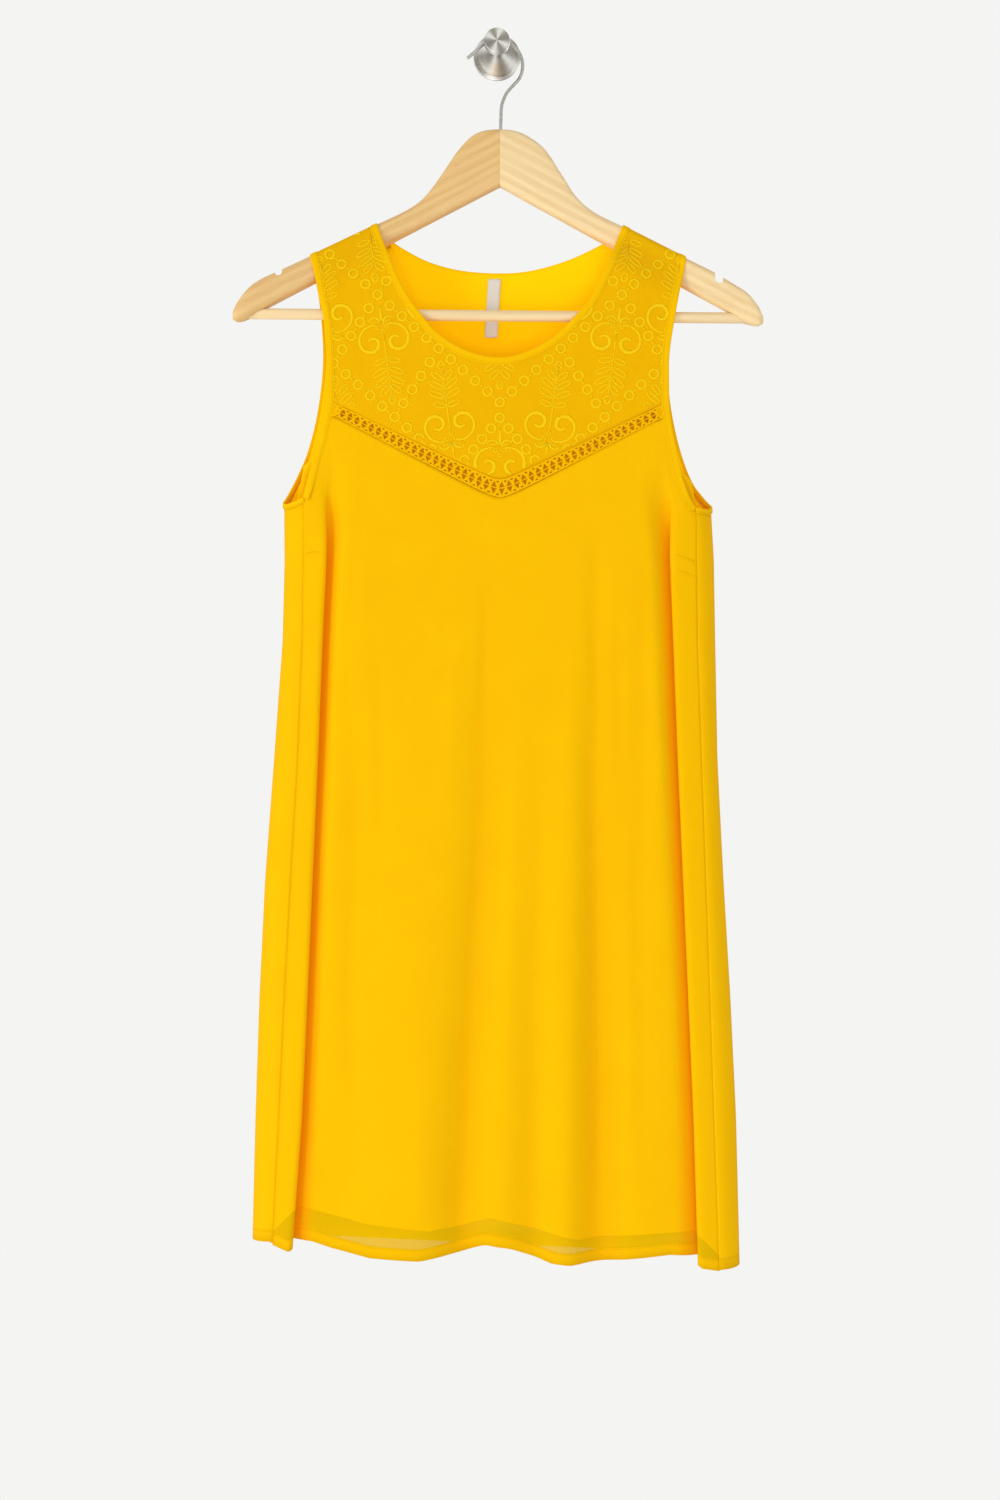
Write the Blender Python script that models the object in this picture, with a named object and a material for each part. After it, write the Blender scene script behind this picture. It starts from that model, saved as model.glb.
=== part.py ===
# Sleeveless dress hung flat on a wooden hanger, whose wire hook rests on a round wall hook.
# Metres, +Z up. The wall is the plane y = 0, the dress faces -Y, and the origin is the centre
# of the wall hook's back face. Tables are in millimetres; their heights start at TABLE_TOP.

import math

import bpy
import bmesh
from mathutils import Vector

MM = 0.001
TABLE_TOP = 1.3 * MM

# Cloth
CLOTH = 1.0 * MM
SEAM_DRAW = 0.2 * MM  # how far an edge is drawn back for its half of the seam
SIDE_GAP = 1.3 * MM
BINDING_WIDTH = 6.0 * MM
BINDING_CLOTH = 0.7 * MM
BINDING_LIFT = 1.35 * MM
BACK_BINDING_LIFT = 2.3 * MM
BACK_BINDING_WIDTH = 4.5 * MM
BACK_BINDING_START = 0.15  # share of its first step left free at the side seam
LINING_NEAR = 1.35 * MM
LINING_FAR = 4.5 * MM
LINING_SHORTER = 0.965

# Depths, as y
FLAP_TOP_Y = -52.0 * MM
FLAP_HEM_Y = -60.0 * MM
FRONT_TOP_Y = -53.8 * MM
FRONT_HEM_Y = -57.0 * MM
BACK_Y = -13.0 * MM
SIDE_TOP_Y = -30.0 * MM
SIDE_HEM_Y = -36.0 * MM
SEAM_BEHIND_FLAP = 2.5 * MM
BACK_ROUND = 22.0 * MM  # how far in the back takes to turn from the side

# Distances below a top edge over which its own outline fades into the plain form
FRONT_TOP_FADE = 80.0 * MM
BACK_TOP_FADE = 170.0 * MM

# Side folds
FOLD_START = -346.0
FOLD_FULL = -452.0
FOLD_RADIUS = 2.9 * MM
FOLD_HIDDEN_TOP = 7.0 * MM
FOLD_HIDDEN_HEM = 20.0 * MM
FOLD_SLANT = 0.17
FOLD_SPREAD = 11.0 * MM  # width of a side fold where it is pressed out
FOLD_REACH = 14.0 * MM  # way beyond the hidden layer to come forward again
BODY_BOTTOM = -1040.0

# Hanger
ARM_HALF_DEPTH = 6.5 * MM
ARM_CROWN = 6.0 * MM
ARM_CENTRE_Y = -24.0 * MM
ARM_SWEEP = 26.0 * MM
ARM_REACH = 220.0 * MM
BAR_RADIUS = 4.6 * MM
BAR_Y = -46.4 * MM
BAR_LEFT = (-211.0, -233.2)
BAR_RIGHT = (212.0, -236.9)
BAR_CLEARANCE = 0.3 * MM
SOCKET_LENGTH = 60.0
SOCKET_RISE = 0.5  # rise of the bar over that length
SOCKET_DEEPER = 0.4
WIRE_RADIUS = 1.5 * MM
WIRE_ARC_CENTRE = (0.1, -15.9)
WIRE_ARC_RADIUS = 22.0

# Body of the dress by height: outer edge, side seam and edge of the side fold, left and right
BODY = (
    # z, edge_l, seam_l, fold_l, fold_r, seam_r, edge_r
    (-340.0, -181.0, -163.4, -143.8, 145.3, 168.2, 182.4),
    (-396.0, -181.5, -163.2, -143.7, 145.6, 168.2, 182.9),
    (-442.0, -181.2, -163.1, -144.2, 146.4, 168.3, 185.3),
    (-510.0, -182.8, -163.8, -147.4, 149.1, 169.0, 186.1),
    (-611.0, -190.0, -167.4, -151.2, 152.8, 172.3, 187.9),
    (-712.0, -197.4, -173.0, -155.5, 157.1, 175.8, 192.8),
    (-813.0, -202.1, -178.2, -159.8, 161.4, 179.2, 198.6),
    (-914.0, -205.3, -182.8, -164.2, 165.6, 182.4, 203.3),
    (-1045.0, -208.4, -189.4, -173.8, 169.6, 186.8, 206.4),
)

# Soft folds of the front: place at the top and hem, half width, height forward, where it starts
SOFT_FOLDS = (
    # top_x, hem_x, width, forward, start_z
    (-52.0, -74.0, 48.0, 9.0, -470.0),
    (1.0, -29.0, 17.0, -7.5, -430.0),
    (24.0, 5.0, 15.0, 4.0, -520.0),
    (36.0, 34.0, 11.0, -2.5, -560.0),
    (60.0, 58.0, 19.0, 7.0, -470.0),
    (86.0, 86.0, 17.0, -6.5, -400.0),
    (121.0, 120.0, 22.0, 2.0, -600.0),
)

# Hem of the front, from the left seam to the right one, by place across
FRONT_HEM = (
    # x, z
    (-190.0, -1018.5),
    (-176.0, -1024.0),
    (-171.0, -1014.6),
    (-157.0, -1015.6),
    (-140.0, -1021.0),
    (-107.0, -1028.8),
    (-65.0, -1031.0),
    (-31.0, -1025.2),
    (-10.0, -1018.7),
    (11.0, -1021.4),
    (45.0, -1033.6),
    (62.0, -1035.2),
    (100.0, -1032.0),
    (146.0, -1027.2),
    (164.0, -1028.2),
    (169.0, -1037.6),
    (190.0, -1041.4),
)
BACK_HEM_LEFT = -1016.0
BACK_HEM_RIGHT = -1040.0

# Front armholes from the side seam up to the lace, and on up to the shoulder
ARMHOLE_FRONT_LEFT = (
    # x, z
    (-163.4, -389.0),
    (-161.6, -381.5),
    (-159.4, -373.0),
    (-157.0, -364.0),
    (-154.4, -354.4),
    (-152.1, -347.6),
    (-150.1, -340.9),
    (-149.1, -334.5),
    (-147.9, -328.2),
    (-146.3, -323.0),
    (-144.8, -318.6),
)
ARMHOLE_FRONT_RIGHT = (
    # x, z
    (168.2, -397.6),
    (165.4, -394.2),
    (162.4, -389.0),
    (159.2, -380.5),
    (156.2, -371.3),
    (153.4, -359.0),
    (150.9, -346.8),
    (148.9, -337.0),
    (147.4, -329.0),
    (146.6, -324.5),
    (146.3, -320.6),
)
STRAP_EDGE_LEFT = (
    # x, z
    (-158.6, -182.2),
    (-154.0, -200.0),
    (-149.3, -222.8),
    (-145.9, -240.0),
    (-143.6, -267.5),
    (-143.4, -290.3),
    (-143.2, -305.2),
)
STRAP_EDGE_RIGHT = (
    # x, z
    (160.4, -183.9),
    (157.6, -199.0),
    (153.4, -218.0),
    (149.4, -240.0),
    (145.6, -265.0),
    (144.2, -290.3),
    (145.0, -306.6),
)

# Front neckline from the left shoulder to the lowest point, and from the right one
NECK_FRONT_LEFT = (
    # x, z
    (-102.6, -153.6),
    (-94.4, -177.2),
    (-83.5, -204.2),
    (-73.3, -222.8),
    (-59.8, -241.3),
    (-46.3, -254.0),
    (-28.6, -264.6),
    (-11.7, -270.2),
    (2.6, -271.7),
)
NECK_FRONT_RIGHT = (
    # x, z
    (107.6, -155.2),
    (98.4, -179.7),
    (87.0, -205.9),
    (72.8, -230.4),
    (54.1, -248.9),
    (37.2, -261.0),
    (16.5, -269.6),
    (2.6, -271.7),
)

# The V between yoke and body: height at the middle, slope, and how round the point is
V_CENTRE_X = 2.6
V_ROUND = 7.0
LACE_TOP_Z = -373.6
LACE_TOP_SLOPE = 0.482
LACE_LOW_Z = -389.6
LACE_LOW_SLOPE = 0.516
LACE_LEFT_X = -143.2
LACE_RIGHT_X = 145.0

# Top edge of the back from the left side seam over shoulder and neck to the right side seam
BACK_TOP = (
    # x, z
    (-163.4, -389.0),
    (-170.0, -392.0),
    (-178.5, -393.8),
    (-181.5, -391.0),
    (-176.6, -380.0),
    (-169.0, -362.0),
    (-162.2, -343.0),
    (-156.3, -320.5),
    (-152.0, -294.9),
    (-149.6, -268.0),
    (-149.9, -243.6),
    (-151.9, -218.0),
    (-155.0, -200.0),
    (-157.0, -190.4),
    (-142.0, -182.7),
    (-127.5, -175.3),
    (-112.5, -167.7),
    (-97.6, -160.1),
    (-90.5, -165.7),
    (-79.0, -173.0),
    (-60.0, -182.2),
    (-38.0, -188.3),
    (-18.0, -191.0),
    (2.6, -191.8),
    (22.0, -190.8),
    (42.0, -186.9),
    (62.0, -180.9),
    (80.0, -173.4),
    (93.5, -166.8),
    (102.6, -161.5),
    (117.0, -169.3),
    (131.0, -176.9),
    (145.0, -184.5),
    (158.8, -192.0),
    (158.0, -200.0),
    (154.2, -218.0),
    (149.6, -243.6),
    (147.9, -268.0),
    (148.3, -294.9),
    (152.1, -320.5),
    (158.4, -346.2),
    (167.5, -371.8),
    (175.2, -384.6),
    (182.6, -394.6),
    (179.8, -398.2),
    (174.5, -398.6),
    (168.2, -397.6),
)
BACK_TOP_SHOULDER_LEFT = 13
BACK_TOP_NECK_LEFT = 17
BACK_TOP_NECK_RIGHT = 30
BACK_TOP_SHOULDER_RIGHT = 34

# Hanger arms by place across: top and lower edge
ARM_LEFT = (
    # x, top, low
    (2.4, -70.6, -119.7),
    (-11.0, -71.9, -126.8),
    (-23.0, -77.9, -133.4),
    (-35.0, -91.6, -139.8),
    (-48.0, -111.2, -146.7),
    (-61.5, -129.2, -154.0),
    (-75.0, -140.0, -161.2),
    (-102.5, -154.7, -176.0),
    (-130.0, -168.7, -191.2),
    (-158.5, -183.3, -207.2),
    (-179.0, -193.4, -219.2),
    (-198.0, -203.0, -230.0),
    (-207.0, -209.2, -235.6),
    (-213.0, -215.5, -239.2),
    (-219.5, -224.8, -240.6),
    (-222.8, -232.0, -238.8),
)
ARM_RIGHT = (
    # x, top, low
    (2.8, -70.6, -119.7),
    (14.0, -71.8, -126.0),
    (25.6, -76.3, -133.0),
    (41.0, -88.2, -141.5),
    (56.0, -111.2, -150.0),
    (68.0, -129.6, -157.0),
    (83.5, -143.4, -165.5),
    (107.0, -156.1, -179.0),
    (134.0, -170.7, -195.5),
    (160.4, -185.0, -211.4),
    (185.0, -198.0, -225.5),
    (196.0, -205.2, -232.0),
    (207.0, -212.6, -239.6),
    (213.0, -217.5, -242.6),
    (221.0, -228.0, -244.2),
    (224.6, -236.0, -242.2),
)
NOTCHES = (
    # side, x, width, depth
    ("left", -185.0, 6.4, 5.0),
    ("right", 188.2, 7.6, 8.0),
)

# Wall hook, turned about its axis: distance from the wall and radius
PLATE = (
    # out, radius
    (0.0, 19.8),
    (0.5, 20.3),
    (1.6, 20.3),
    (2.0, 19.9),
)
STEM_AND_KNOB = (
    # out, radius
    (2.3, 17.2),
    (4.2, 16.6),
    (7.5, 13.2),
    (12.0, 9.2),
    (17.0, 6.6),
    (22.0, 5.8),
    (28.0, 5.8),
    (31.5, 6.8),
    (35.5, 9.4),
    (39.5, 10.9),
    (43.5, 11.1),
    (45.4, 10.7),
    (46.2, 9.8),
)

# Label
LABEL_LEFT = -7.6
LABEL_RIGHT = 3.4
LABEL_TOP = -197.0
LABEL_LOW = -248.0
LABEL_LEAN = -3.0
LABEL_CLOTH = 0.6 * MM

# Front grid: columns of each flap, each fold and the middle, and rows as shares of the height
FLAP_POINTS = 4
TURN_POINTS = 7
SIDE_POINTS = FLAP_POINTS + TURN_POINTS
MAIN_POINTS = 21
MAIN_SPAN = [i / (MAIN_POINTS + 1) for i in range(1, MAIN_POINTS + 1)]
FRONT_ROWS = [0.0, 0.018, 0.038, 0.062, 0.09] + [0.09 + 0.91 * i / 14 for i in range(1, 15)]

# Back grid: columns that wrap forward and turn in at each side, and rows
WRAP_COLUMNS = 3
TURN_COLUMNS = 3
BACK_ROWS = [0.0, 0.008, 0.02, 0.045, 0.085, 0.14] + [0.14 + 0.86 * i / 11 for i in range(1, 12)]

# Yoke grid: drops behind and before the shoulder ridge, and spans from neckline to outer edge
BEHIND_DROPS = (9.0, 4.8, 2.0, 0.5)
BEHIND_NECK_SLOPE = 0.56
BEHIND_STRAP_SLOPE = 0.18
STRAP_DROPS = (0.0, 0.5, 2.0, 4.8, 8.5, 17.0, 34.0, 62.0, 92.0)
STRAP_SHARE = 0.62  # share of the neckline that lies beside the strap
YOKE_ACROSS = 6

# Lining grids
LINING_ROWS = [0.0, 0.03, 0.07, 0.12, 0.2, 0.3, 0.4, 0.5, 0.6, 0.7, 0.8, 0.9, 1.0]
LINING_SIDE = 4
LINING_MAIN = 18
LINING_TURN = 14.0 * MM
LINING_MARGIN = 24.0 * MM
LINING_TOPS_LEFT = ((-178.0, -401.0), (-172.0, -400.0), (-166.0, -397.0), (-159.0, -380.0))
LINING_TOPS_RIGHT = ((178.6, -404.0), (174.0, -403.5), (168.0, -401.0), (161.0, -394.0))
LINING_BACK_START = 0.013
LINING_BACK_ROWS = [0.0, 0.012, 0.03, 0.06, 0.1, 0.15]
LINING_BACK_ROWS += [0.15 + (LINING_SHORTER - 0.15) * i / 8 for i in range(1, 9)]
LINING_HEM = (
    # x, z
    (-172.0, -985.0),
    (-143.0, -992.0),
    (-109.0, -1000.4),
    (-58.0, -1005.8),
    (-29.0, -1003.0),
    (-5.0, -995.5),
    (24.0, -1003.0),
    (68.0, -1014.0),
    (122.0, -1010.0),
    (172.0, -1007.0),
)


def up(height):
    return height * MM + TABLE_TOP


def table_height(z):
    return (z - TABLE_TOP) / MM


def smooth(t):
    t = min(max(t, 0.0), 1.0)
    return t * t * (3.0 - 2.0 * t)


def lerp(a, b, t):
    return a + (b - a) * t


def column(rows, index, at):
    """Value of one column of a table at a place given in its first column."""
    ordered = sorted(rows)
    if at <= ordered[0][0]:
        return ordered[0][index]
    for low, high in zip(ordered, ordered[1:]):
        if at <= high[0]:
            return lerp(low[index], high[index], (at - low[0]) / (high[0] - low[0]))
    return ordered[-1][index]


def along(points, fraction):
    """Point at a fraction of the length of a smooth line through a table of points."""
    pts = [Vector(p) for p in points]
    fine = []
    for i in range(len(pts) - 1):
        before = pts[max(i - 1, 0)]
        after = pts[min(i + 2, len(pts) - 1)]
        for step in range(8):
            t = step / 8
            a = 2 * pts[i]
            b = (pts[i + 1] - before) * t
            c = (2 * before - 5 * pts[i] + 4 * pts[i + 1] - after) * t * t
            d = (3 * pts[i] - before - 3 * pts[i + 1] + after) * t ** 3
            fine.append((a + b + c + d) / 2)
    fine.append(pts[-1])
    lengths = [0.0]
    for first, second in zip(fine, fine[1:]):
        lengths.append(lengths[-1] + (second - first).length)
    target = fraction * lengths[-1]
    for i in range(len(fine) - 1):
        if target <= lengths[i + 1]:
            t = (target - lengths[i]) / (lengths[i + 1] - lengths[i])
            return fine[i].lerp(fine[i + 1], t)
    return fine[-1]


def material(name, colour, roughness, metallic=0.0):
    made = bpy.data.materials.new(name)
    made.use_nodes = True
    shader = made.node_tree.nodes["Principled BSDF"]
    shader.inputs["Base Color"].default_value = (*colour, 1.0)
    shader.inputs["Roughness"].default_value = roughness
    shader.inputs["Metallic"].default_value = metallic
    made.diffuse_color = (*colour, 1.0)
    return made


def finish(name, shape, look):
    bmesh.ops.recalc_face_normals(shape, faces=shape.faces)
    mesh = bpy.data.meshes.new(name)
    shape.to_mesh(mesh)
    shape.free()
    mesh.materials.append(look)
    mesh.shade_smooth()
    mesh.set_sharp_from_angle(angle=math.radians(40.0))
    made = bpy.data.objects.new(name, mesh)
    bpy.context.scene.collection.objects.link(made)
    return made


def grid_normals(grid, cyclic=False):
    """Outward normals of a grid whose rows run down and whose columns run left to right."""
    rows = len(grid)
    cols = len(grid[0])
    normals = []
    for i in range(rows):
        line = []
        for j in range(cols):
            if cyclic:
                left = grid[i][j - 1]
                right = grid[i][(j + 1) % cols]
            else:
                left = grid[i][max(j - 1, 0)]
                right = grid[i][min(j + 1, cols - 1)]
            above = grid[max(i - 1, 0)][j]
            below = grid[min(i + 1, rows - 1)][j]
            line.append((below - above).cross(right - left).normalized())
        normals.append(line)
    return normals


def seam_sides(grid):
    """Draws the first and last column in by half the seam's gap."""
    for line in grid:
        for edge, beside in ((0, 1), (-1, -2)):
            step = (line[beside] - line[edge]).normalized()
            line[edge] = line[edge] + step * SEAM_DRAW
    return grid


def seam_top(grid, columns):
    """Draws the top of some columns down by half the seam's gap."""
    for j in columns:
        step = (grid[1][j] - grid[0][j]).normalized()
        grid[0][j] = grid[0][j] + step * SEAM_DRAW
    return grid


def moved_out(grid, normals, distance):
    return [[p + n * distance for p, n in zip(line, ns)] for line, ns in zip(grid, normals)]


def wall(name, grid, thickness, look, normals=None, cyclic=False):
    """Closed cloth wall of even thickness about a grid of points on its middle surface."""
    if normals is None:
        normals = grid_normals(grid, cyclic)
    rows = len(grid)
    cols = len(grid[0])
    shape = bmesh.new()
    outer = [[shape.verts.new(p) for p in line] for line in moved_out(grid, normals, thickness / 2)]
    inner = [[shape.verts.new(p) for p in line] for line in moved_out(grid, normals, -thickness / 2)]
    last = cols if cyclic else cols - 1
    for i in range(rows - 1):
        for j in range(last):
            k = (j + 1) % cols
            shape.faces.new((outer[i][j], outer[i + 1][j], outer[i + 1][k], outer[i][k]))
            shape.faces.new((inner[i][j], inner[i][k], inner[i + 1][k], inner[i + 1][j]))
    for j in range(last):
        k = (j + 1) % cols
        shape.faces.new((outer[0][j], outer[0][k], inner[0][k], inner[0][j]))
        shape.faces.new((outer[-1][k], outer[-1][j], inner[-1][j], inner[-1][k]))
    if not cyclic:
        for i in range(rows - 1):
            shape.faces.new((outer[i + 1][0], outer[i][0], inner[i][0], inner[i + 1][0]))
            shape.faces.new((outer[i][-1], outer[i + 1][-1], inner[i + 1][-1], inner[i][-1]))
    return finish(name, shape, look)


def arm_centre(x):
    return ARM_CENTRE_Y - ARM_SWEEP * min(abs(x) / ARM_REACH, 1.0) ** 1.6


def shoulder_height(x):
    """Height of the cloth's middle surface where it crosses the arm's ridge."""
    if x < 0:
        return up(lerp(-153.6, -182.2, (x / MM + 102.6) / -56.0))
    return up(lerp(-155.2, -183.9, (x / MM - 107.6) / 52.8))


def over_ridge(drop, half_width):
    """How far the cloth stands from the arm's middle at a drop below the ridge."""
    crown = ARM_CROWN + 1.0 * MM
    if drop >= crown:
        return half_width
    return half_width * math.sqrt(max(1.0 - (1.0 - max(drop, 0.0) / crown) ** 2, 0.0))


def soft_folds(x, z):
    """Depth of the soft folds of the front at a place."""
    height = table_height(z)
    total = 0.0
    for top_x, hem_x, width, forward, start in SOFT_FOLDS:
        way = smooth((start - height) / (start - BODY_BOTTOM))
        middle = lerp(top_x, hem_x, way) * MM
        total -= forward * MM * way ** 0.8 * math.exp(-((x - middle) / (width * MM)) ** 2)
    return total


def front_depth(x, z):
    """Depth of the front where it hangs in one layer: yoke, lace and middle of the body."""
    drop = shoulder_height(x) - z
    near = arm_centre(x) - over_ridge(drop, ARM_HALF_DEPTH + 1.0 * MM)
    down = (up(-380.0) - z) / (up(-380.0) - up(BODY_BOTTOM))
    far = lerp(FRONT_TOP_Y, FRONT_HEM_Y, smooth(down)) + soft_folds(x, z)
    return lerp(near, far, smooth((drop - 7.0 * MM) / (38.0 * MM)))


def flat_front(x, z, values):
    """Depth of the front as it would hang without its side folds."""
    beside = smooth((abs(x) - 128.0 * MM) / (30.0 * MM))
    beside *= smooth((up(-300.0) - z) / (90.0 * MM))
    return lerp(front_depth(x, z), values["flap_y"], beside)


def back_depth(x, z):
    drop = shoulder_height(x) - z
    near = arm_centre(x) + over_ridge(drop, ARM_HALF_DEPTH + 2.6 * MM)
    return lerp(near, BACK_Y, smooth((drop - 7.0 * MM) / (110.0 * MM)))


def body(z):
    """Values of the body table at a height, with the depths that go with them."""
    height = table_height(z)
    values = {}
    names = ("edge_l", "seam_l", "fold_l", "fold_r", "seam_r", "edge_r")
    for index, name in enumerate(names, start=1):
        values[name] = column(BODY, index, height) * MM
    down = smooth((-380.0 - height) / (-380.0 - BODY_BOTTOM))
    values["flap_y"] = lerp(FLAP_TOP_Y, FLAP_HEM_Y, down)
    values["side_y"] = lerp(SIDE_TOP_Y, SIDE_HEM_Y, down)
    values["seam_y"] = values["flap_y"] + SEAM_BEHIND_FLAP
    values["hidden"] = lerp(FOLD_HIDDEN_TOP, FOLD_HIDDEN_HEM, down)
    values["slant"] = FOLD_SLANT * values["hidden"]
    values["folded"] = smooth((FOLD_START - height) / (FOLD_START - FOLD_FULL))
    return values


def side_fold(values, side):
    """Plan of one side of the front: the flap, its edge, the hidden layer and the way back out.

    side is -1 on the left and 1 on the right; points run from the seam inwards.
    """
    tag = "l" if side < 0 else "r"
    seam = values["seam_" + tag]
    edge = values["fold_" + tag]
    inward = -side
    r = FOLD_RADIUS
    flap_y = values["flap_y"]
    points = []
    for i in range(FLAP_POINTS):
        t = i / (FLAP_POINTS - 1)
        x = lerp(seam, edge - inward * r, t)
        points.append((x, lerp(values["seam_y"], flap_y, math.sin(t * math.pi / 2))))
    for angle in (-30.0, 20.0, 70.0):
        a = math.radians(angle)
        points.append((edge - inward * r + inward * r * math.cos(a), flap_y + r + r * math.sin(a)))
    middle = edge - inward * (values["hidden"] - r)
    deep = flap_y + 3 * r + values["slant"]
    for angle in (-70.0, -20.0, 30.0, 90.0):
        a = math.radians(angle)
        points.append((middle - inward * r * math.cos(a), deep + r * math.sin(a)))
    return points


def front_point(j, z, top):
    """Point of column j of the front body at height z; top is where the column starts."""
    values = body(z)
    at_top = body(up(top[1]))
    left = side_fold(values, -1)
    right = side_fold(values, 1)[::-1]

    def plain_x(vals):
        if j < FLAP_POINTS:
            return lerp(vals["seam_l"], vals["fold_l"] - FOLD_RADIUS, j / (FLAP_POINTS - 1))
        if j < SIDE_POINTS:
            step = (j - FLAP_POINTS + 1) / TURN_POINTS
            return vals["fold_l"] - FOLD_RADIUS + FOLD_SPREAD * step
        if j >= SIDE_POINTS + MAIN_POINTS:
            back = 2 * SIDE_POINTS + MAIN_POINTS - 1 - j
            if back < FLAP_POINTS:
                return lerp(vals["seam_r"], vals["fold_r"] + FOLD_RADIUS, back / (FLAP_POINTS - 1))
            step = (back - FLAP_POINTS + 1) / TURN_POINTS
            return vals["fold_r"] + FOLD_RADIUS - FOLD_SPREAD * step
        span = MAIN_SPAN[j - SIDE_POINTS]
        low = vals["fold_l"] - FOLD_RADIUS + FOLD_SPREAD
        high = vals["fold_r"] + FOLD_RADIUS - FOLD_SPREAD
        return lerp(low, high, span)

    fade = max(1.0 - (up(top[1]) - z) / FRONT_TOP_FADE, 0.0) ** 2
    shift = (top[0] * MM - plain_x(at_top)) * fade
    flat_x = plain_x(values) + shift
    flat_y = flat_front(flat_x, z, values)
    if j < SIDE_POINTS:
        x, y = left[j]
    elif j >= SIDE_POINTS + MAIN_POINTS:
        x, y = right[j - SIDE_POINTS - MAIN_POINTS]
    else:
        start = left[-1]
        end = right[0]
        x = lerp(start[0], end[0], MAIN_SPAN[j - SIDE_POINTS])
        reach = values["hidden"] + FOLD_REACH
        out = smooth((x - start[0]) / reach) * smooth((end[0] - x) / reach)
        y = lerp(start[1], front_depth(x, z), out)
    if j < FLAP_POINTS or j >= 2 * SIDE_POINTS + MAIN_POINTS - FLAP_POINTS:
        seam_side = smooth((abs(flat_x) - abs(left[2][0])) / (20.0 * MM))
        flat_y = lerp(flat_y, y, max(seam_side, values["folded"]))
    x = lerp(flat_x, x + shift, values["folded"])
    y = lerp(flat_y, y, values["folded"])
    return Vector((x, y, z))


def v_line(x, middle, slope):
    off = x - V_CENTRE_X
    return middle + slope * (math.sqrt(off * off + V_ROUND * V_ROUND) - V_ROUND)


def lace_x(t):
    if t < 0.5:
        return lerp(LACE_LEFT_X, V_CENTRE_X, 2.0 * t)
    return lerp(V_CENTRE_X, LACE_RIGHT_X, 2.0 * t - 1.0)


def lace_stations():
    return [0.0] + MAIN_SPAN + [1.0]


def front_tops():
    tops = list(ARMHOLE_FRONT_LEFT)
    for t in MAIN_SPAN:
        x = lace_x(t)
        tops.append((x, v_line(x, LACE_LOW_Z, LACE_LOW_SLOPE) - 0.2))
    return tops + list(ARMHOLE_FRONT_RIGHT)[::-1]


def front_hem(j, tops):
    """Height of the hem for column j, read where the column meets the hem."""
    across = front_point(j, up(-1030.0), tops[j]).x / MM
    if SIDE_POINTS <= j < SIDE_POINTS + MAIN_POINTS:
        across = min(max(across, -171.0), 164.0)
    elif j < FLAP_POINTS:
        across = min(across, -176.0)
    elif j >= 2 * SIDE_POINTS + MAIN_POINTS - FLAP_POINTS:
        across = max(across, 169.0)
    elif j < SIDE_POINTS:
        step = (j - FLAP_POINTS + 1) / TURN_POINTS
        return up(lerp(-1024.0, -1014.6, step))
    else:
        step = (2 * SIDE_POINTS + MAIN_POINTS - FLAP_POINTS - j) / TURN_POINTS
        return up(lerp(-1037.6, -1028.2, step))
    return up(column(FRONT_HEM, 1, across))


def front_body_grid():
    tops = front_tops()
    grid = []
    for share in FRONT_ROWS:
        line = []
        for j, top in enumerate(tops):
            z = lerp(up(top[1]), front_hem(j, tops), share)
            line.append(front_point(j, z, top))
        grid.append(line)
    return seam_sides(grid)


def back_plan(j, z):
    """Plan of the back at column j: round the side from the seam, then across."""
    values = body(z)
    count = len(BACK_TOP)
    side = "l" if j < count // 2 else "r"
    inward = 1.0 if side == "l" else -1.0
    i = j if side == "l" else count - 1 - j
    seam = values["seam_" + side]
    edge = values["edge_" + side]
    if i <= WRAP_COLUMNS:
        a = i / WRAP_COLUMNS * math.pi / 2
        x = lerp(seam, edge, math.sin(a))
        return x, lerp(values["seam_y"], values["side_y"], 1.0 - math.cos(a))
    if i <= WRAP_COLUMNS + TURN_COLUMNS:
        a = (i - WRAP_COLUMNS) / TURN_COLUMNS * math.pi / 2
        x = edge + inward * BACK_ROUND * (1.0 - math.cos(a))
        return x, lerp(values["side_y"], BACK_Y, math.sin(a))
    first = WRAP_COLUMNS + TURN_COLUMNS
    t = (j - first) / (count - 1 - 2 * first)
    x = lerp(values["edge_l"] + BACK_ROUND, values["edge_r"] - BACK_ROUND, t)
    return x, BACK_Y


def back_point(j, share):
    top = BACK_TOP[j]
    top_z = up(top[1])
    t = j / (len(BACK_TOP) - 1)
    hem = up(lerp(BACK_HEM_LEFT, BACK_HEM_RIGHT, t))
    z = lerp(top_z, hem, share)
    x, y = back_plan(j, z)
    start_x = back_plan(j, top_z)[0]
    fade = max(1.0 - (top_z - z) / BACK_TOP_FADE, 0.0) ** 2
    x += (top[0] * MM - start_x) * fade
    last = len(BACK_TOP) - 1
    if WRAP_COLUMNS < j < last - WRAP_COLUMNS:
        high = smooth((z - up(-370.0)) / (60.0 * MM))
        y = lerp(y, back_depth(x, z), high)
    return Vector((x, y, z))


def back_body_grid():
    grid = [[back_point(j, share) for j in range(len(BACK_TOP))] for share in BACK_ROWS]
    shoulders = list(range(BACK_TOP_SHOULDER_LEFT, BACK_TOP_NECK_LEFT + 1))
    shoulders += list(range(BACK_TOP_NECK_RIGHT, BACK_TOP_SHOULDER_RIGHT + 1))
    return seam_top(seam_sides(grid), shoulders)


def behind_shoulder(neck, strap, drop, side):
    """Ends of a line across the shoulder at a drop behind the ridge."""
    ends = []
    for x, slope in ((neck[0], BEHIND_NECK_SLOPE), (strap[0], BEHIND_STRAP_SLOPE)):
        x -= side * slope * drop
        ends.append(Vector((x, table_height(shoulder_height(x * MM)) - drop)))
    return ends


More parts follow.
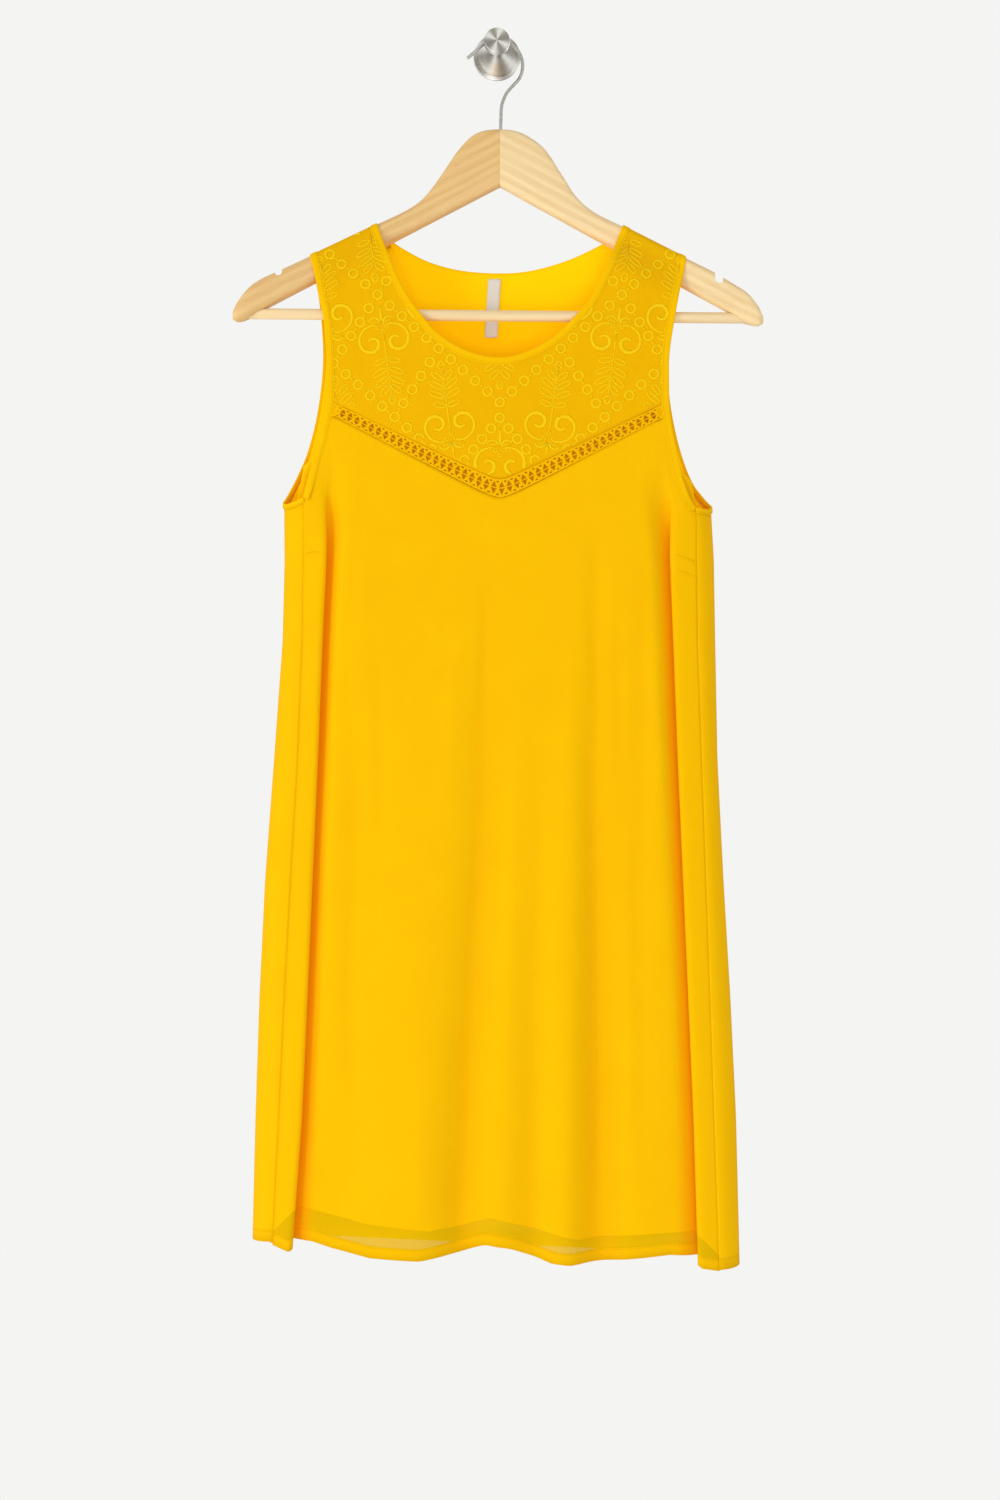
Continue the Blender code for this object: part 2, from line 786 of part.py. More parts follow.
def yoke_lines():
    """Pairs of points on the neckline and the outer boundary, from shoulder to shoulder.

    The yoke runs over both shoulders to a seam just behind the ridge.
    """
    pairs = []
    for drop in BEHIND_DROPS:
        pairs.append(behind_shoulder(NECK_FRONT_LEFT[0], STRAP_EDGE_LEFT[0], drop, -1))
    strap_left = STRAP_EDGE_LEFT[0][1] - STRAP_EDGE_LEFT[-1][1]
    for drop in STRAP_DROPS:
        t = drop / strap_left
        pairs.append((along(NECK_FRONT_LEFT, t * STRAP_SHARE), along(STRAP_EDGE_LEFT, t)))
    for t in lace_stations():
        x = lace_x(t)
        outer = Vector((x, v_line(x, LACE_TOP_Z, LACE_TOP_SLOPE)))
        if t <= 0.5:
            inner = along(NECK_FRONT_LEFT, lerp(STRAP_SHARE, 1.0, t / 0.5))
        else:
            inner = along(NECK_FRONT_RIGHT, lerp(1.0, STRAP_SHARE, (t - 0.5) / 0.5))
        pairs.append((inner, outer))
    for drop in STRAP_DROPS[::-1]:
        t = drop / strap_left
        pairs.append((along(NECK_FRONT_RIGHT, t * STRAP_SHARE), along(STRAP_EDGE_RIGHT, t)))
    for drop in BEHIND_DROPS[::-1]:
        pairs.append(behind_shoulder(NECK_FRONT_RIGHT[0], STRAP_EDGE_RIGHT[0], drop, 1))
    return pairs


def front_place(p):
    x = p[0] * MM
    z = up(p[1])
    return Vector((x, front_depth(x, z), z))


def back_place(p):
    x = p[0] * MM
    z = up(p[1])
    return Vector((x, back_depth(x, z), z))


def yoke_grid():
    """Rows run from the neckline out, columns from the left shoulder to the right one."""
    grid = []
    lines = yoke_lines()
    behind = len(BEHIND_DROPS)
    for k in range(YOKE_ACROSS + 3):
        line = []
        for column_at, (inner, outer) in enumerate(lines):
            length = (outer - inner).length
            edge = BINDING_WIDTH / MM / length
            shares = [0.0, edge]
            shares += [lerp(edge, 1.0 - edge, i / YOKE_ACROSS) for i in range(1, YOKE_ACROSS)]
            shares += [1.0 - edge, 1.0]
            place = inner.lerp(outer, shares[k])
            if behind <= column_at < len(lines) - behind:
                line.append(front_place(place))
            else:
                line.append(back_place(place))
        grid.append(line)
    return seam_sides(grid)


def lace_grid():
    grid = []
    for share in (0.0, 0.5, 1.0):
        line = []
        for t in lace_stations():
            x = lace_x(t)
            low = v_line(x, LACE_LOW_Z, LACE_LOW_SLOPE) + 0.15
            high = v_line(x, LACE_TOP_Z, LACE_TOP_SLOPE) - 0.35
            line.append(front_place((x, lerp(high, low, share))))
        grid.append(line)
    return grid


def lining_offset(drop):
    return lerp(LINING_NEAR, LINING_FAR, smooth(drop / (60.0 * MM)))


def lining_front_tops():
    tops = list(LINING_TOPS_LEFT)
    for i in range(LINING_MAIN):
        x = lerp(-150.0, 152.0, i / (LINING_MAIN - 1))
        z = v_line(x, LACE_LOW_Z, LACE_LOW_SLOPE) - 1.0
        if i == 0:
            z = -350.0
        if i == LINING_MAIN - 1:
            z = -362.0
        tops.append((x, z))
    return tops + list(LINING_TOPS_RIGHT)[::-1]


def lining_front_point(j, share, tops):
    top = tops[j]
    top_z = up(top[1])
    count = len(tops)
    hem = up(column(LINING_HEM, 1, lerp(-172.0, 172.0, j / (count - 1))))
    z = lerp(top_z, hem, share)
    values = body(z)
    drop = top_z - z
    behind_fold = values["flap_y"] + 4 * FOLD_RADIUS + values["slant"] + 3.0 * MM
    left_x = values["edge_l"] + LINING_FAR
    right_x = values["edge_r"] - LINING_FAR
    if j < LINING_SIDE or j >= count - LINING_SIDE:
        i = j if j < LINING_SIDE else count - 1 - j
        a = i / LINING_SIDE * math.pi / 2
        side_x = left_x if j < LINING_SIDE else right_x
        inward = 1.0 if j < LINING_SIDE else -1.0
        x = side_x + inward * LINING_TURN * (1.0 - math.cos(a))
        start_y = values["side_y"] - SIDE_GAP
        return Vector((x, lerp(start_y, behind_fold, math.sin(a)), z))
    t = (j - LINING_SIDE) / (LINING_MAIN - 1)
    below = lerp(left_x + LINING_TURN, right_x - LINING_TURN, t)
    x = lerp(below, top[0] * MM, 1.0 - smooth(drop / (80.0 * MM)))
    middle = flat_front(x, z, values) + lining_offset(drop)
    inside = smooth((x - values["fold_l"]) / LINING_MARGIN)
    inside *= smooth((values["fold_r"] - x) / LINING_MARGIN)
    inside = lerp(1.0, inside, smooth(drop / (25.0 * MM)))
    return Vector((x, lerp(behind_fold, middle, inside), z))


def lining_front_grid():
    tops = lining_front_tops()
    return [[lining_front_point(j, s, tops) for j in range(len(tops))] for s in LINING_ROWS]


def lining_back_grid():
    """The back lining is the back's own points, moved in; it starts below the shoulder ridge."""
    shares = [lerp(LINING_BACK_START, 1.0, s) for s in LINING_BACK_ROWS]
    columns = range(len(BACK_TOP))
    full = [[back_point(j, share) for j in columns] for share in shares]
    normals = grid_normals([line[::-1] for line in full])
    last = len(BACK_TOP) - 1
    kept = [j for j in columns if WRAP_COLUMNS <= j <= last - WRAP_COLUMNS and j % 2]
    grid = []
    for line, ns in zip(full, normals):
        row = []
        for j in kept:
            drop = full[0][j].z - line[j].z
            row.append(line[j] - ns[last - j] * lining_offset(drop))
        grid.append(row)
    return grid


def binding(name, points, normals, towards, look, lift_by=BINDING_LIFT, width=BINDING_WIDTH):
    """Flat band over an edge: its points are the cloth's own, moved out, and a band inside them."""
    edge = []
    inside = []
    last = len(points) - 1
    for i, (point, normal) in enumerate(zip(points, normals)):
        run = (points[min(i + 1, last)] - points[max(i - 1, 0)]).normalized()
        step = run.cross(normal).normalized()
        if step.dot(towards) < 0:
            step.negate()
        lift = normal * lift_by
        edge.append(point + lift)
        inside.append(point + step * width + lift)
    grid = seam_sides([edge, inside])
    return wall(name, grid, BINDING_CLOTH, look, normals=[normals, normals])


def neck_bindings(yoke, yoke_normals, back, back_normals, look):
    edge = seam_sides([list(yoke[0]), list(yoke[1])])
    wall("neck_binding_front", moved_out(edge, yoke_normals[:2], BINDING_LIFT), BINDING_CLOTH, look,
         normals=yoke_normals[:2])
    columns = range(BACK_TOP_NECK_LEFT, BACK_TOP_NECK_RIGHT + 1)
    points = [back[0][j] for j in columns]
    normals = [back_normals[0][j] for j in columns]
    binding("neck_binding_back", points, normals, Vector((0.0, 0.0, -1.0)), look)


def armhole_bindings(side, yoke, yoke_normals, front, front_normals, back, back_normals, look):
    """Front band from the shoulder to the side seam, back band from there to the shoulder."""
    strap = len(BEHIND_DROPS) + len(STRAP_DROPS)
    last_yoke = len(yoke[0]) - 1
    last_front = len(front[0]) - 1
    last_back = len(BACK_TOP) - 1
    word = "left" if side < 0 else "right"
    points = []
    normals = []
    for j in range(strap + 1):
        k = j if side < 0 else last_yoke - j
        points.append(yoke[-1][k])
        normals.append(yoke_normals[-1][k])
    for j in range(SIDE_POINTS - 2, -1, -1):
        k = j if side < 0 else last_front - j
        points.append(front[0][k])
        normals.append(front_normals[0][k])
    binding("armhole_binding_front_" + word, points, normals, Vector((-side, 0.0, -0.3)), look)
    points = []
    normals = []
    for j in range(BACK_TOP_SHOULDER_LEFT + 1):
        k = j if side < 0 else last_back - j
        points.append(back[0][k])
        normals.append(back_normals[0][k])
    points[0] = points[0].lerp(points[1], BACK_BINDING_START)
    towards = Vector((-side, 0.0, -0.6))
    binding("armhole_binding_back_" + word, points, normals, towards, look,
            BACK_BINDING_LIFT, BACK_BINDING_WIDTH)


def neck_label(look):
    """Blank label on the inside of the back, its face towards the neck opening."""
    grid = []
    for k in range(7):
        t = k / 6
        z = lerp(up(LABEL_TOP), up(LABEL_LOW), t)
        line = []
        for x in (LABEL_LEFT, LABEL_RIGHT):
            across = (x + LABEL_LEAN * t) * MM
            drop = up(-191.8) - z
            depth = back_depth(across, z) - lining_offset(drop) - CLOTH / 2 - 0.75 * MM
            line.append(Vector((across, depth, z)))
        grid.append(line)
    return wall("neck_label", grid, LABEL_CLOTH, look)


def arm_ring(x, top, low, shrink):
    """Outline of a hanger arm's section: crowned along the top, softly rounded below."""
    middle = arm_centre(x)
    half = ARM_HALF_DEPTH * shrink
    crown = min(ARM_CROWN, (top - low) * 0.45)
    foot = min(3.0 * MM, (top - low) * 0.3)
    ring = []
    for k in range(9):
        a = math.pi * k / 8
        ring.append(Vector((x, middle - half * math.cos(a), top - crown + crown * math.sin(a))))
    for k in range(3):
        a = math.pi / 2 * k / 2
        y = middle + half - foot + foot * math.cos(a)
        ring.append(Vector((x, y, low + foot - foot * math.sin(a))))
    for k in range(3):
        a = math.pi / 2 * k / 2
        y = middle - half + foot - foot * math.sin(a)
        ring.append(Vector((x, y, low + foot - foot * math.cos(a))))
    return ring


def loft(name, rings, look):
    shape = bmesh.new()
    loops = [[shape.verts.new(p) for p in ring] for ring in rings]
    count = len(rings[0])
    for first, second in zip(loops, loops[1:]):
        for k in range(count):
            n = (k + 1) % count
            shape.faces.new((first[k], first[n], second[n], second[k]))
    shape.faces.new(loops[0][::-1])
    shape.faces.new(loops[-1])
    return finish(name, shape, look)


def cylinder(name, start, end, radius, sides, look):
    axis = (end - start).normalized()
    side = axis.orthogonal().normalized()
    other = axis.cross(side)
    rings = []
    for centre in (start, end):
        ring = []
        for k in range(sides):
            a = 2 * math.pi * k / sides
            ring.append(centre + radius * (side * math.cos(a) + other * math.sin(a)))
        rings.append(ring)
    return loft(name, rings, look)


def cut(target, cutter):
    cutter.hide_render = True
    cutter.display_type = "WIRE"
    boolean = target.modifiers.new(cutter.name, "BOOLEAN")
    boolean.operation = "DIFFERENCE"
    boolean.object = cutter


def notch_cutter(x, width, depth, table, look):
    """Upright slot with a round bottom, as long as the arm is thick."""
    top = up(column([(row[0], row[1]) for row in table], 1, x))
    radius = width / 2 * MM
    bottom = top - depth * MM + radius
    outline = [(-radius, 10.0 * MM)]
    for k in range(7):
        a = math.pi * k / 6
        outline.append((-radius * math.cos(a), -radius * math.sin(a)))
    outline.append((radius, 10.0 * MM))
    rings = []
    for y in (-70.0 * MM, -20.0 * MM):
        rings.append([Vector((x * MM + px, y, bottom + pz)) for px, pz in outline])
    return loft("cut_notch", rings, look)


def hanger_arm(name, table, side, look):
    rings = []
    last = len(table) - 1
    for i, (x, top, low) in enumerate(table):
        shrink = 1.0 if i < last - 1 else (0.9 if i == last - 1 else 0.6)
        rings.append(arm_ring(x * MM, up(top), up(low), shrink))
    arm = loft(name, rings, look)
    end = BAR_LEFT if side < 0 else BAR_RIGHT
    reach = Vector(((end[0] + side * SOCKET_DEEPER) * MM, BAR_Y, up(end[1])))
    inner = Vector(((end[0] - side * SOCKET_LENGTH) * MM, BAR_Y, up(end[1] + side * SOCKET_RISE)))
    socket = cylinder("cut_socket", inner, reach, BAR_RADIUS + BAR_CLEARANCE, 16, look)
    cut(arm, socket)
    wanted = "left" if side < 0 else "right"
    for where, x, width, depth in NOTCHES:
        if where == wanted:
            cut(arm, notch_cutter(x, width, depth, table, look))
    return arm


def hanger_bar(look):
    start = Vector((BAR_LEFT[0] * MM, BAR_Y, up(BAR_LEFT[1])))
    end = Vector((BAR_RIGHT[0] * MM, BAR_Y, up(BAR_RIGHT[1])))
    return cylinder("hanger_bar", start, end, BAR_RADIUS, 16, look)


def hanger_hook(look):
    """Bent wire: up from the wood, out to the right, round the arc and out at the tip."""
    centre_x, centre_z = WIRE_ARC_CENTRE
    route = [(3.2, -70.2), (3.5, -60.0), (4.4, -49.0), (9.2, -38.2)]
    for angle in (-33.0, -10.0, 12.0, 34.0, 56.0, 78.0, 100.0, 120.0):
        a = math.radians(angle)
        x = centre_x + WIRE_ARC_RADIUS * math.cos(a)
        route.append((x, centre_z + WIRE_ARC_RADIUS * math.sin(a)))
    route += [(-17.6, -2.9), (-25.2, -9.4)]
    points = [along(route, i / 36) for i in range(37)]
    curve = bpy.data.curves.new("hanger_hook", "CURVE")
    curve.dimensions = "3D"
    curve.bevel_depth = WIRE_RADIUS
    curve.bevel_resolution = 2
    curve.use_fill_caps = True
    spline = curve.splines.new("POLY")
    spline.points.add(len(points) - 1)
    for point, (x, z) in zip(spline.points, points):
        point.co = (x * MM, ARM_CENTRE_Y, up(z), 1.0)
    curve.materials.append(look)
    made = bpy.data.objects.new("hanger_hook", curve)
    bpy.context.scene.collection.objects.link(made)
    return made


def turned(name, profile, sides, look):
    """Solid turned about the Y axis through the origin, from the wall outwards."""
    rings = []
    for out, radius in profile:
        ring = []
        for k in range(sides):
            a = 2 * math.pi * k / sides
            ring.append(Vector((radius * MM * math.cos(a), -out * MM, radius * MM * math.sin(a))))
        rings.append(ring)
    return loft(name, rings, look)


def build():
    for old in list(bpy.data.objects):
        bpy.data.objects.remove(old, do_unlink=True)
    chiffon = material("yellow_chiffon", (0.95, 0.53, 0.0), 0.75)
    yoke_cloth = material("sheer_yoke", (0.9, 0.47, 0.0), 0.8)
    trim = material("lace_trim", (0.93, 0.5, 0.0), 0.8)
    lining = material("yellow_lining", (0.93, 0.45, 0.0), 0.8)
    white = material("white_label", (0.85, 0.85, 0.83), 0.7)
    wood = material("beech", (0.86, 0.62, 0.36), 0.45)
    steel = material("polished_wire", (0.72, 0.72, 0.72), 0.2, 1.0)
    brushed = material("brushed_plate", (0.62, 0.61, 0.6), 0.35, 1.0)

    yoke = yoke_grid()
    front = front_body_grid()
    back = [line[::-1] for line in back_body_grid()]
    yoke_normals = grid_normals(yoke)
    front_normals = grid_normals(front)
    back_normals = grid_normals(back)
    wall("yoke_front", yoke, CLOTH, yoke_cloth)
    wall("lace_band", lace_grid(), CLOTH, trim)
    wall("front_body", front, CLOTH, chiffon)
    wall("back_body", back, CLOTH, chiffon)
    wall("lining_front", lining_front_grid(), CLOTH, lining)
    wall("lining_back", [line[::-1] for line in lining_back_grid()], CLOTH, lining)

    back = [line[::-1] for line in back]
    back_normals = [line[::-1] for line in back_normals]
    neck_bindings(yoke, yoke_normals, back, back_normals, chiffon)
    for side in (-1, 1):
        armhole_bindings(side, yoke, yoke_normals, front, front_normals, back, back_normals, chiffon)
    neck_label(white)

    hanger_arm("hanger_arm_left", ARM_LEFT, -1, wood)
    hanger_arm("hanger_arm_right", ARM_RIGHT, 1, wood)
    hanger_bar(wood)
    hanger_hook(steel)
    turned("wall_hook_plate", PLATE, 32, brushed)
    turned("wall_hook_knob", STEM_AND_KNOB, 28, brushed)


build()
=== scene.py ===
# Yellow sleeveless dress hung flat on a wooden hanger and a round steel wall hook.
# Metres; tables are in millimetres, and their heights start at the table's top, as in the frame.

import math

import bmesh
import bpy
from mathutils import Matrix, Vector


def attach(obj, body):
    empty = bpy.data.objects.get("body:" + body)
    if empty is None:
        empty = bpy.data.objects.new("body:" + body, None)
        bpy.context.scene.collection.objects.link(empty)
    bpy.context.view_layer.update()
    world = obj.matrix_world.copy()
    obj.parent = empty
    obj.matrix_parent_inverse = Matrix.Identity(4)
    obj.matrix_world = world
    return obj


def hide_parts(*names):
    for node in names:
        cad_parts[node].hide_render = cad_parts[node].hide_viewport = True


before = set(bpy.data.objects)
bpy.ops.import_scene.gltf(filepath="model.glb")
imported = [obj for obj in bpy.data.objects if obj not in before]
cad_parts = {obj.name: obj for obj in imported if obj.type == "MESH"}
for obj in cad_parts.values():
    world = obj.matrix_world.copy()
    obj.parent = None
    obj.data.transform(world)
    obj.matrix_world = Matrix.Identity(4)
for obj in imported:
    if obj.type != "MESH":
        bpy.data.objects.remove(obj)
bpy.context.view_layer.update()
bpy.ops.object.select_all(action="DESELECT")

mm = 0.001
tableTop = 1.3 * mm

shape = {  # what all the cloth shares
    "thick": 0.5 * mm,
    "liningNear": 1.35 * mm,
    "liningFar": 4.5 * mm,
    "armHalf": 6.5 * mm,
    "armCrown": 6.0 * mm,
    "armY": -24.0 * mm,
    "armSweep": 26.0 * mm,
    "armReach": 220.0 * mm,
    "frontTopY": -53.8 * mm,
    "frontHemY": -57.0 * mm,
    "backY": -13.0 * mm,
    "bottom": -1040.0,
}


def up(height):
    return height * mm + tableTop


def tableHeight(z):
    return (z - tableTop) / mm


def smooth(t):
    t = min(max(t, 0.0), 1.0)
    return t * t * (3.0 - 2.0 * t)


def lerp(a, b, t):
    return a + (b - a) * t


def column(rows, index, at):  # a column of a table, read at a place in its first column
    ordered = sorted(rows)
    if at <= ordered[0][0]:
        return ordered[0][index]
    for low, high in zip(ordered, ordered[1:]):
        if at <= high[0]:
            return lerp(low[index], high[index], (at - low[0]) / (high[0] - low[0]))
    return ordered[-1][index]


def bend(before, start, end, after, t):  # one span of a smooth line through points
    a = 2 * start
    b = (end - before) * t
    c = (2 * before - 5 * start + 4 * end - after) * t * t
    d = (3 * start - before - 3 * end + after) * t**3
    return (a + b + c + d) / 2


def atIndex(points, q, corners=()):  # place q counted in points; corners stay sharp
    last = len(points) - 1
    i = min(max(int(q), 0), last - 1)
    start = Vector(points[i])
    end = Vector(points[i + 1])
    before = Vector(points[i - 1]) if i > 0 and i not in corners else start
    after = Vector(points[i + 2]) if i + 2 <= last and i + 1 not in corners else end
    return bend(before, start, end, after, q - i)


def along(points, fraction):  # place at a fraction of the length of a smooth line
    fine = [atIndex(points, k / 8) for k in range(8 * (len(points) - 1) + 1)]
    lengths = [0.0]
    for first, second in zip(fine, fine[1:]):
        lengths.append(lengths[-1] + (second - first).length)
    target = fraction * lengths[-1]
    for i in range(len(fine) - 1):
        if target <= lengths[i + 1]:
            t = (target - lengths[i]) / max(lengths[i + 1] - lengths[i], 1e-9)
            return fine[i].lerp(fine[i + 1], t)
    return fine[-1]


def spread(start, end, count):  # count places from start to end
    return [lerp(start, end, i / (count - 1)) for i in range(count)]


def gridNormals(grid):
    rows = len(grid)
    cols = len(grid[0])
    normals = []
    for i in range(rows):
        line = []
        for j in range(cols):
            left = grid[i][max(j - 1, 0)]
            right = grid[i][min(j + 1, cols - 1)]
            above = grid[max(i - 1, 0)][j]
            below = grid[min(i + 1, rows - 1)][j]
            line.append((below - above).cross(right - left).normalized())
        normals.append(line)
    return normals


def movedOut(grid, normals, distance):
    return [[p + n * distance for p, n in zip(line, ns)] for line, ns in zip(grid, normals)]


def sheetFrom(name, grid, thick, look, origin="low", deep=None, bare=None):
    # rows run down and columns to the right; the UV map is in metres, from the hem or the top;
    # deep is how much painted fold shade a place gets, bare how far it is above the lining's hem
    mesh = bmesh.new()
    paintedShadeMask = mesh.verts.layers.float.new("deep")
    lined = mesh.verts.layers.float.new("bare")
    uv = mesh.loops.layers.uv.new("cloth")
    rows = len(grid)
    cols = len(grid[0])
    verts = [[mesh.verts.new(p) for p in line] for line in grid]
    for i in range(rows):
        for j in range(cols):
            verts[i][j][paintedShadeMask] = deep(i, j, grid[i][j]) if deep else 0.0
            verts[i][j][lined] = bare(grid[i][j]) if bare else 1.0
    across = [[0.0] * cols for _ in range(rows)]
    down = [[0.0] * cols for _ in range(rows)]
    for i in range(rows):
        for j in range(1, cols):
            across[i][j] = across[i][j - 1] + (grid[i][j] - grid[i][j - 1]).length
    for j in range(cols):
        for i in range(1, rows):
            down[i][j] = down[i - 1][j] + (grid[i][j] - grid[i - 1][j]).length
    if origin == "low":
        down = [[down[-1][j] - down[i][j] for j in range(cols)] for i in range(rows)]
    middle = [row[cols // 2] for row in across]
    for i in range(rows - 1):
        for j in range(cols - 1):
            corners = ((i, j), (i + 1, j), (i + 1, j + 1), (i, j + 1))
            face = mesh.faces.new([verts[r][c] for r, c in corners])
            face.smooth = True
            for loop, (r, c) in zip(face.loops, corners):
                loop[uv].uv = (across[r][c] - middle[r], down[r][c])
    return wallFrom(name, mesh, thick, look)


def wallFrom(name, mesh, thick, look):
    data = bpy.data.meshes.new(name)
    mesh.to_mesh(data)
    mesh.free()
    data.materials.append(look)
    made = bpy.data.objects.new(name, data)
    bpy.context.scene.collection.objects.link(made)
    if thick > 0:
        select(made)
        solid = made.modifiers.new("thickness", "SOLIDIFY")
        solid.thickness = thick
        solid.offset = 0.0
        bpy.ops.object.modifier_apply(modifier=solid.name)
    return made


def select(*pieces):
    bpy.ops.object.select_all(action="DESELECT")
    for piece in pieces:
        piece.select_set(True)
    bpy.context.view_layer.objects.active = pieces[0]


# Forms that the yoke, lace, body and linings hang on


def armCentre(x):
    return shape["armY"] - shape["armSweep"] * min(abs(x) / shape["armReach"], 1.0) ** 1.6


def shoulderHeight(x):  # height of the cloth where it crosses the arm's ridge
    if x < 0:
        return up(lerp(-153.6, -182.2, (x / mm + 102.6) / -56.0))
    return up(lerp(-155.2, -183.9, (x / mm - 107.6) / 52.8))


def overRidge(drop, half):
    crown = shape["armCrown"] + 1.0 * mm
    if drop >= crown:
        return half
    return half * math.sqrt(max(1.0 - (1.0 - max(drop, 0.0) / crown) ** 2, 0.0))


drape = {
    "folds": (  # topX, hemX, width, forward, startZ: the large soft folds that the frame has too
        (-52.0, -74.0, 48.0, 9.0, -470.0), (1.0, -29.0, 17.0, -7.5, -430.0),
        (24.0, 5.0, 15.0, 4.0, -520.0), (36.0, 34.0, 11.0, -2.5, -560.0),
        (60.0, 58.0, 19.0, 7.0, -470.0), (86.0, 86.0, 17.0, -6.5, -400.0),
        (121.0, 120.0, 22.0, 2.0, -600.0),
    ),
    "creases": (  # x, z, toX, toZ, width, forward: small creases of the front
        (-112.0, -430.0, -118.0, -640.0, 9.0, 0.9), (-96.0, -520.0, -104.0, -800.0, 7.0, -0.8),
        (-30.0, -470.0, -44.0, -700.0, 8.0, 0.8), (-8.0, -455.0, -20.0, -640.0, 5.0, -0.7),
        (16.0, -600.0, 4.0, -900.0, 6.0, 0.9), (48.0, -640.0, 47.0, -960.0, 5.0, 0.7),
        (72.0, -430.0, 76.0, -600.0, 7.0, 0.8), (104.0, -480.0, 104.0, -720.0, 6.0, -0.9),
        (112.0, -760.0, 110.0, -1000.0, 7.0, 0.8), (-130.0, -700.0, -136.0, -960.0, 8.0, 0.9),
        (-60.0, -860.0, -66.0, -1020.0, 9.0, 0.8), (136.0, -520.0, 138.0, -690.0, 6.0, 0.7),
        (-20.0, -820.0, -27.0, -1010.0, 6.0, -0.8), (84.0, -860.0, 84.0, -1015.0, 6.0, -0.7),
        (84.0, -400.0, 85.0, -1010.0, 9.0, -1.9), (66.0, -420.0, 64.0, -960.0, 10.0, 1.3),
        (121.0, -440.0, 121.0, -1000.0, 10.0, -1.5), (-6.0, -430.0, -22.0, -960.0, 9.0, -1.2),
        (-116.0, -480.0, -124.0, -1000.0, 12.0, -1.4),
    ),
}


def foldDepth(x, z):
    height = tableHeight(z)
    total = 0.0
    for topX, hemX, width, forward, start in drape["folds"]:
        way = smooth((start - height) / (start - shape["bottom"]))
        middle = lerp(topX, hemX, way) * mm
        total -= forward * mm * way**0.8 * math.exp(-(((x - middle) / (width * mm)) ** 2))
    return total


def creaseDepth(x, z, creases):
    height = tableHeight(z)
    total = 0.0
    for startX, startZ, endX, endZ, width, forward in creases:
        t = (startZ - height) / (startZ - endZ)
        if 0.0 < t < 1.0:
            middle = lerp(startX, endX, t) + 1.6 * math.sin(7.0 * t + startX)
            swell = math.sin(math.pi * t) ** 0.7
            away = (x / mm - middle) / (width * (0.7 + 0.5 * t))
            total -= forward * mm * swell * math.exp(-away * away)
    return total


def frontDepth(x, z):
    drop = shoulderHeight(x) - z
    near = armCentre(x) - overRidge(drop, shape["armHalf"] + 1.0 * mm)
    downTo = (up(-380.0) - z) / (up(-380.0) - up(shape["bottom"]))
    far = lerp(shape["frontTopY"], shape["frontHemY"], smooth(downTo)) + foldDepth(x, z)
    far += creaseDepth(x, z, drape["creases"])
    return lerp(near, far, smooth((drop - 7.0 * mm) / (38.0 * mm)))


def backDepth(x, z):
    drop = shoulderHeight(x) - z
    near = armCentre(x) + overRidge(drop, shape["armHalf"] + 2.6 * mm)
    return lerp(near, shape["backY"], smooth((drop - 7.0 * mm) / (110.0 * mm)))


body = {
    "sections": (  # z, edgeL, seamL, foldL, foldR, seamR, edgeR
        (-340.0, -181.0, -163.4, -143.8, 145.3, 168.2, 182.4),
        (-396.0, -181.5, -163.2, -143.7, 145.6, 168.2, 182.9),
        (-442.0, -181.2, -163.1, -144.2, 146.4, 168.3, 185.3),
        (-510.0, -182.8, -163.8, -147.4, 149.1, 169.0, 186.1),
        (-611.0, -190.0, -167.4, -151.2, 152.8, 172.3, 187.9),
        (-712.0, -197.4, -173.0, -155.5, 157.1, 175.8, 192.8),
        (-813.0, -202.1, -178.2, -159.8, 161.4, 179.2, 198.6),
        (-914.0, -205.3, -182.8, -164.2, 165.6, 182.4, 203.3),
        (-1045.0, -208.4, -189.4, -173.8, 169.6, 186.8, 206.4),
    ),
    "flapTopY": -52.0 * mm,
    "flapHemY": -60.0 * mm,
    "sideTopY": -30.0 * mm,
    "sideHemY": -36.0 * mm,
    "seamBehind": 2.5 * mm,
    "foldStart": -346.0,
    "foldFull": -452.0,
    "foldRadius": 2.9 * mm,
    "hiddenTop": 7.0 * mm,
    "hiddenHem": 20.0 * mm,
    "slant": 0.17,
    "foldSpread": 11.0 * mm,
    "rows": 112,
    "mainColumns": 92,
    "sideSteps": 3,
}


def bodyAt(z):  # the body table at a height, with the depths that go with it
    height = tableHeight(z)
    values = {}
    for index, name in enumerate(("edgeL", "seamL", "foldL", "foldR", "seamR", "edgeR"), start=1):
        values[name] = column(body["sections"], index, height) * mm
    downTo = smooth((-380.0 - height) / (-380.0 - shape["bottom"]))
    values["flapY"] = lerp(body["flapTopY"], body["flapHemY"], downTo)
    values["sideY"] = lerp(body["sideTopY"], body["sideHemY"], downTo)
    values["seamY"] = values["flapY"] + body["seamBehind"]
    values["hidden"] = lerp(body["hiddenTop"], body["hiddenHem"], downTo)
    values["slant"] = body["slant"] * values["hidden"]
    values["folded"] = smooth((body["foldStart"] - height) / (body["foldStart"] - body["foldFull"]))
    return values


# The V between yoke and body


vee = {
    "centreX": 2.6,
    "round": 7.0,
    "topZ": -373.6,
    "topSlope": 0.482,
    "lowZ": -389.6,
    "lowSlope": 0.516,
    "leftX": -143.2,
    "rightX": 145.0,
}


def veeLine(x, middle, slope):
    off = x - vee["centreX"]
    return middle + slope * (math.sqrt(off * off + vee["round"] ** 2) - vee["round"])


def laceX(t):
    if t < 0.5:
        return lerp(vee["leftX"], vee["centreX"], 2.0 * t)
    return lerp(vee["centreX"], vee["rightX"], 2.0 * t - 1.0)


# Front of the body, with a deep fold down each side


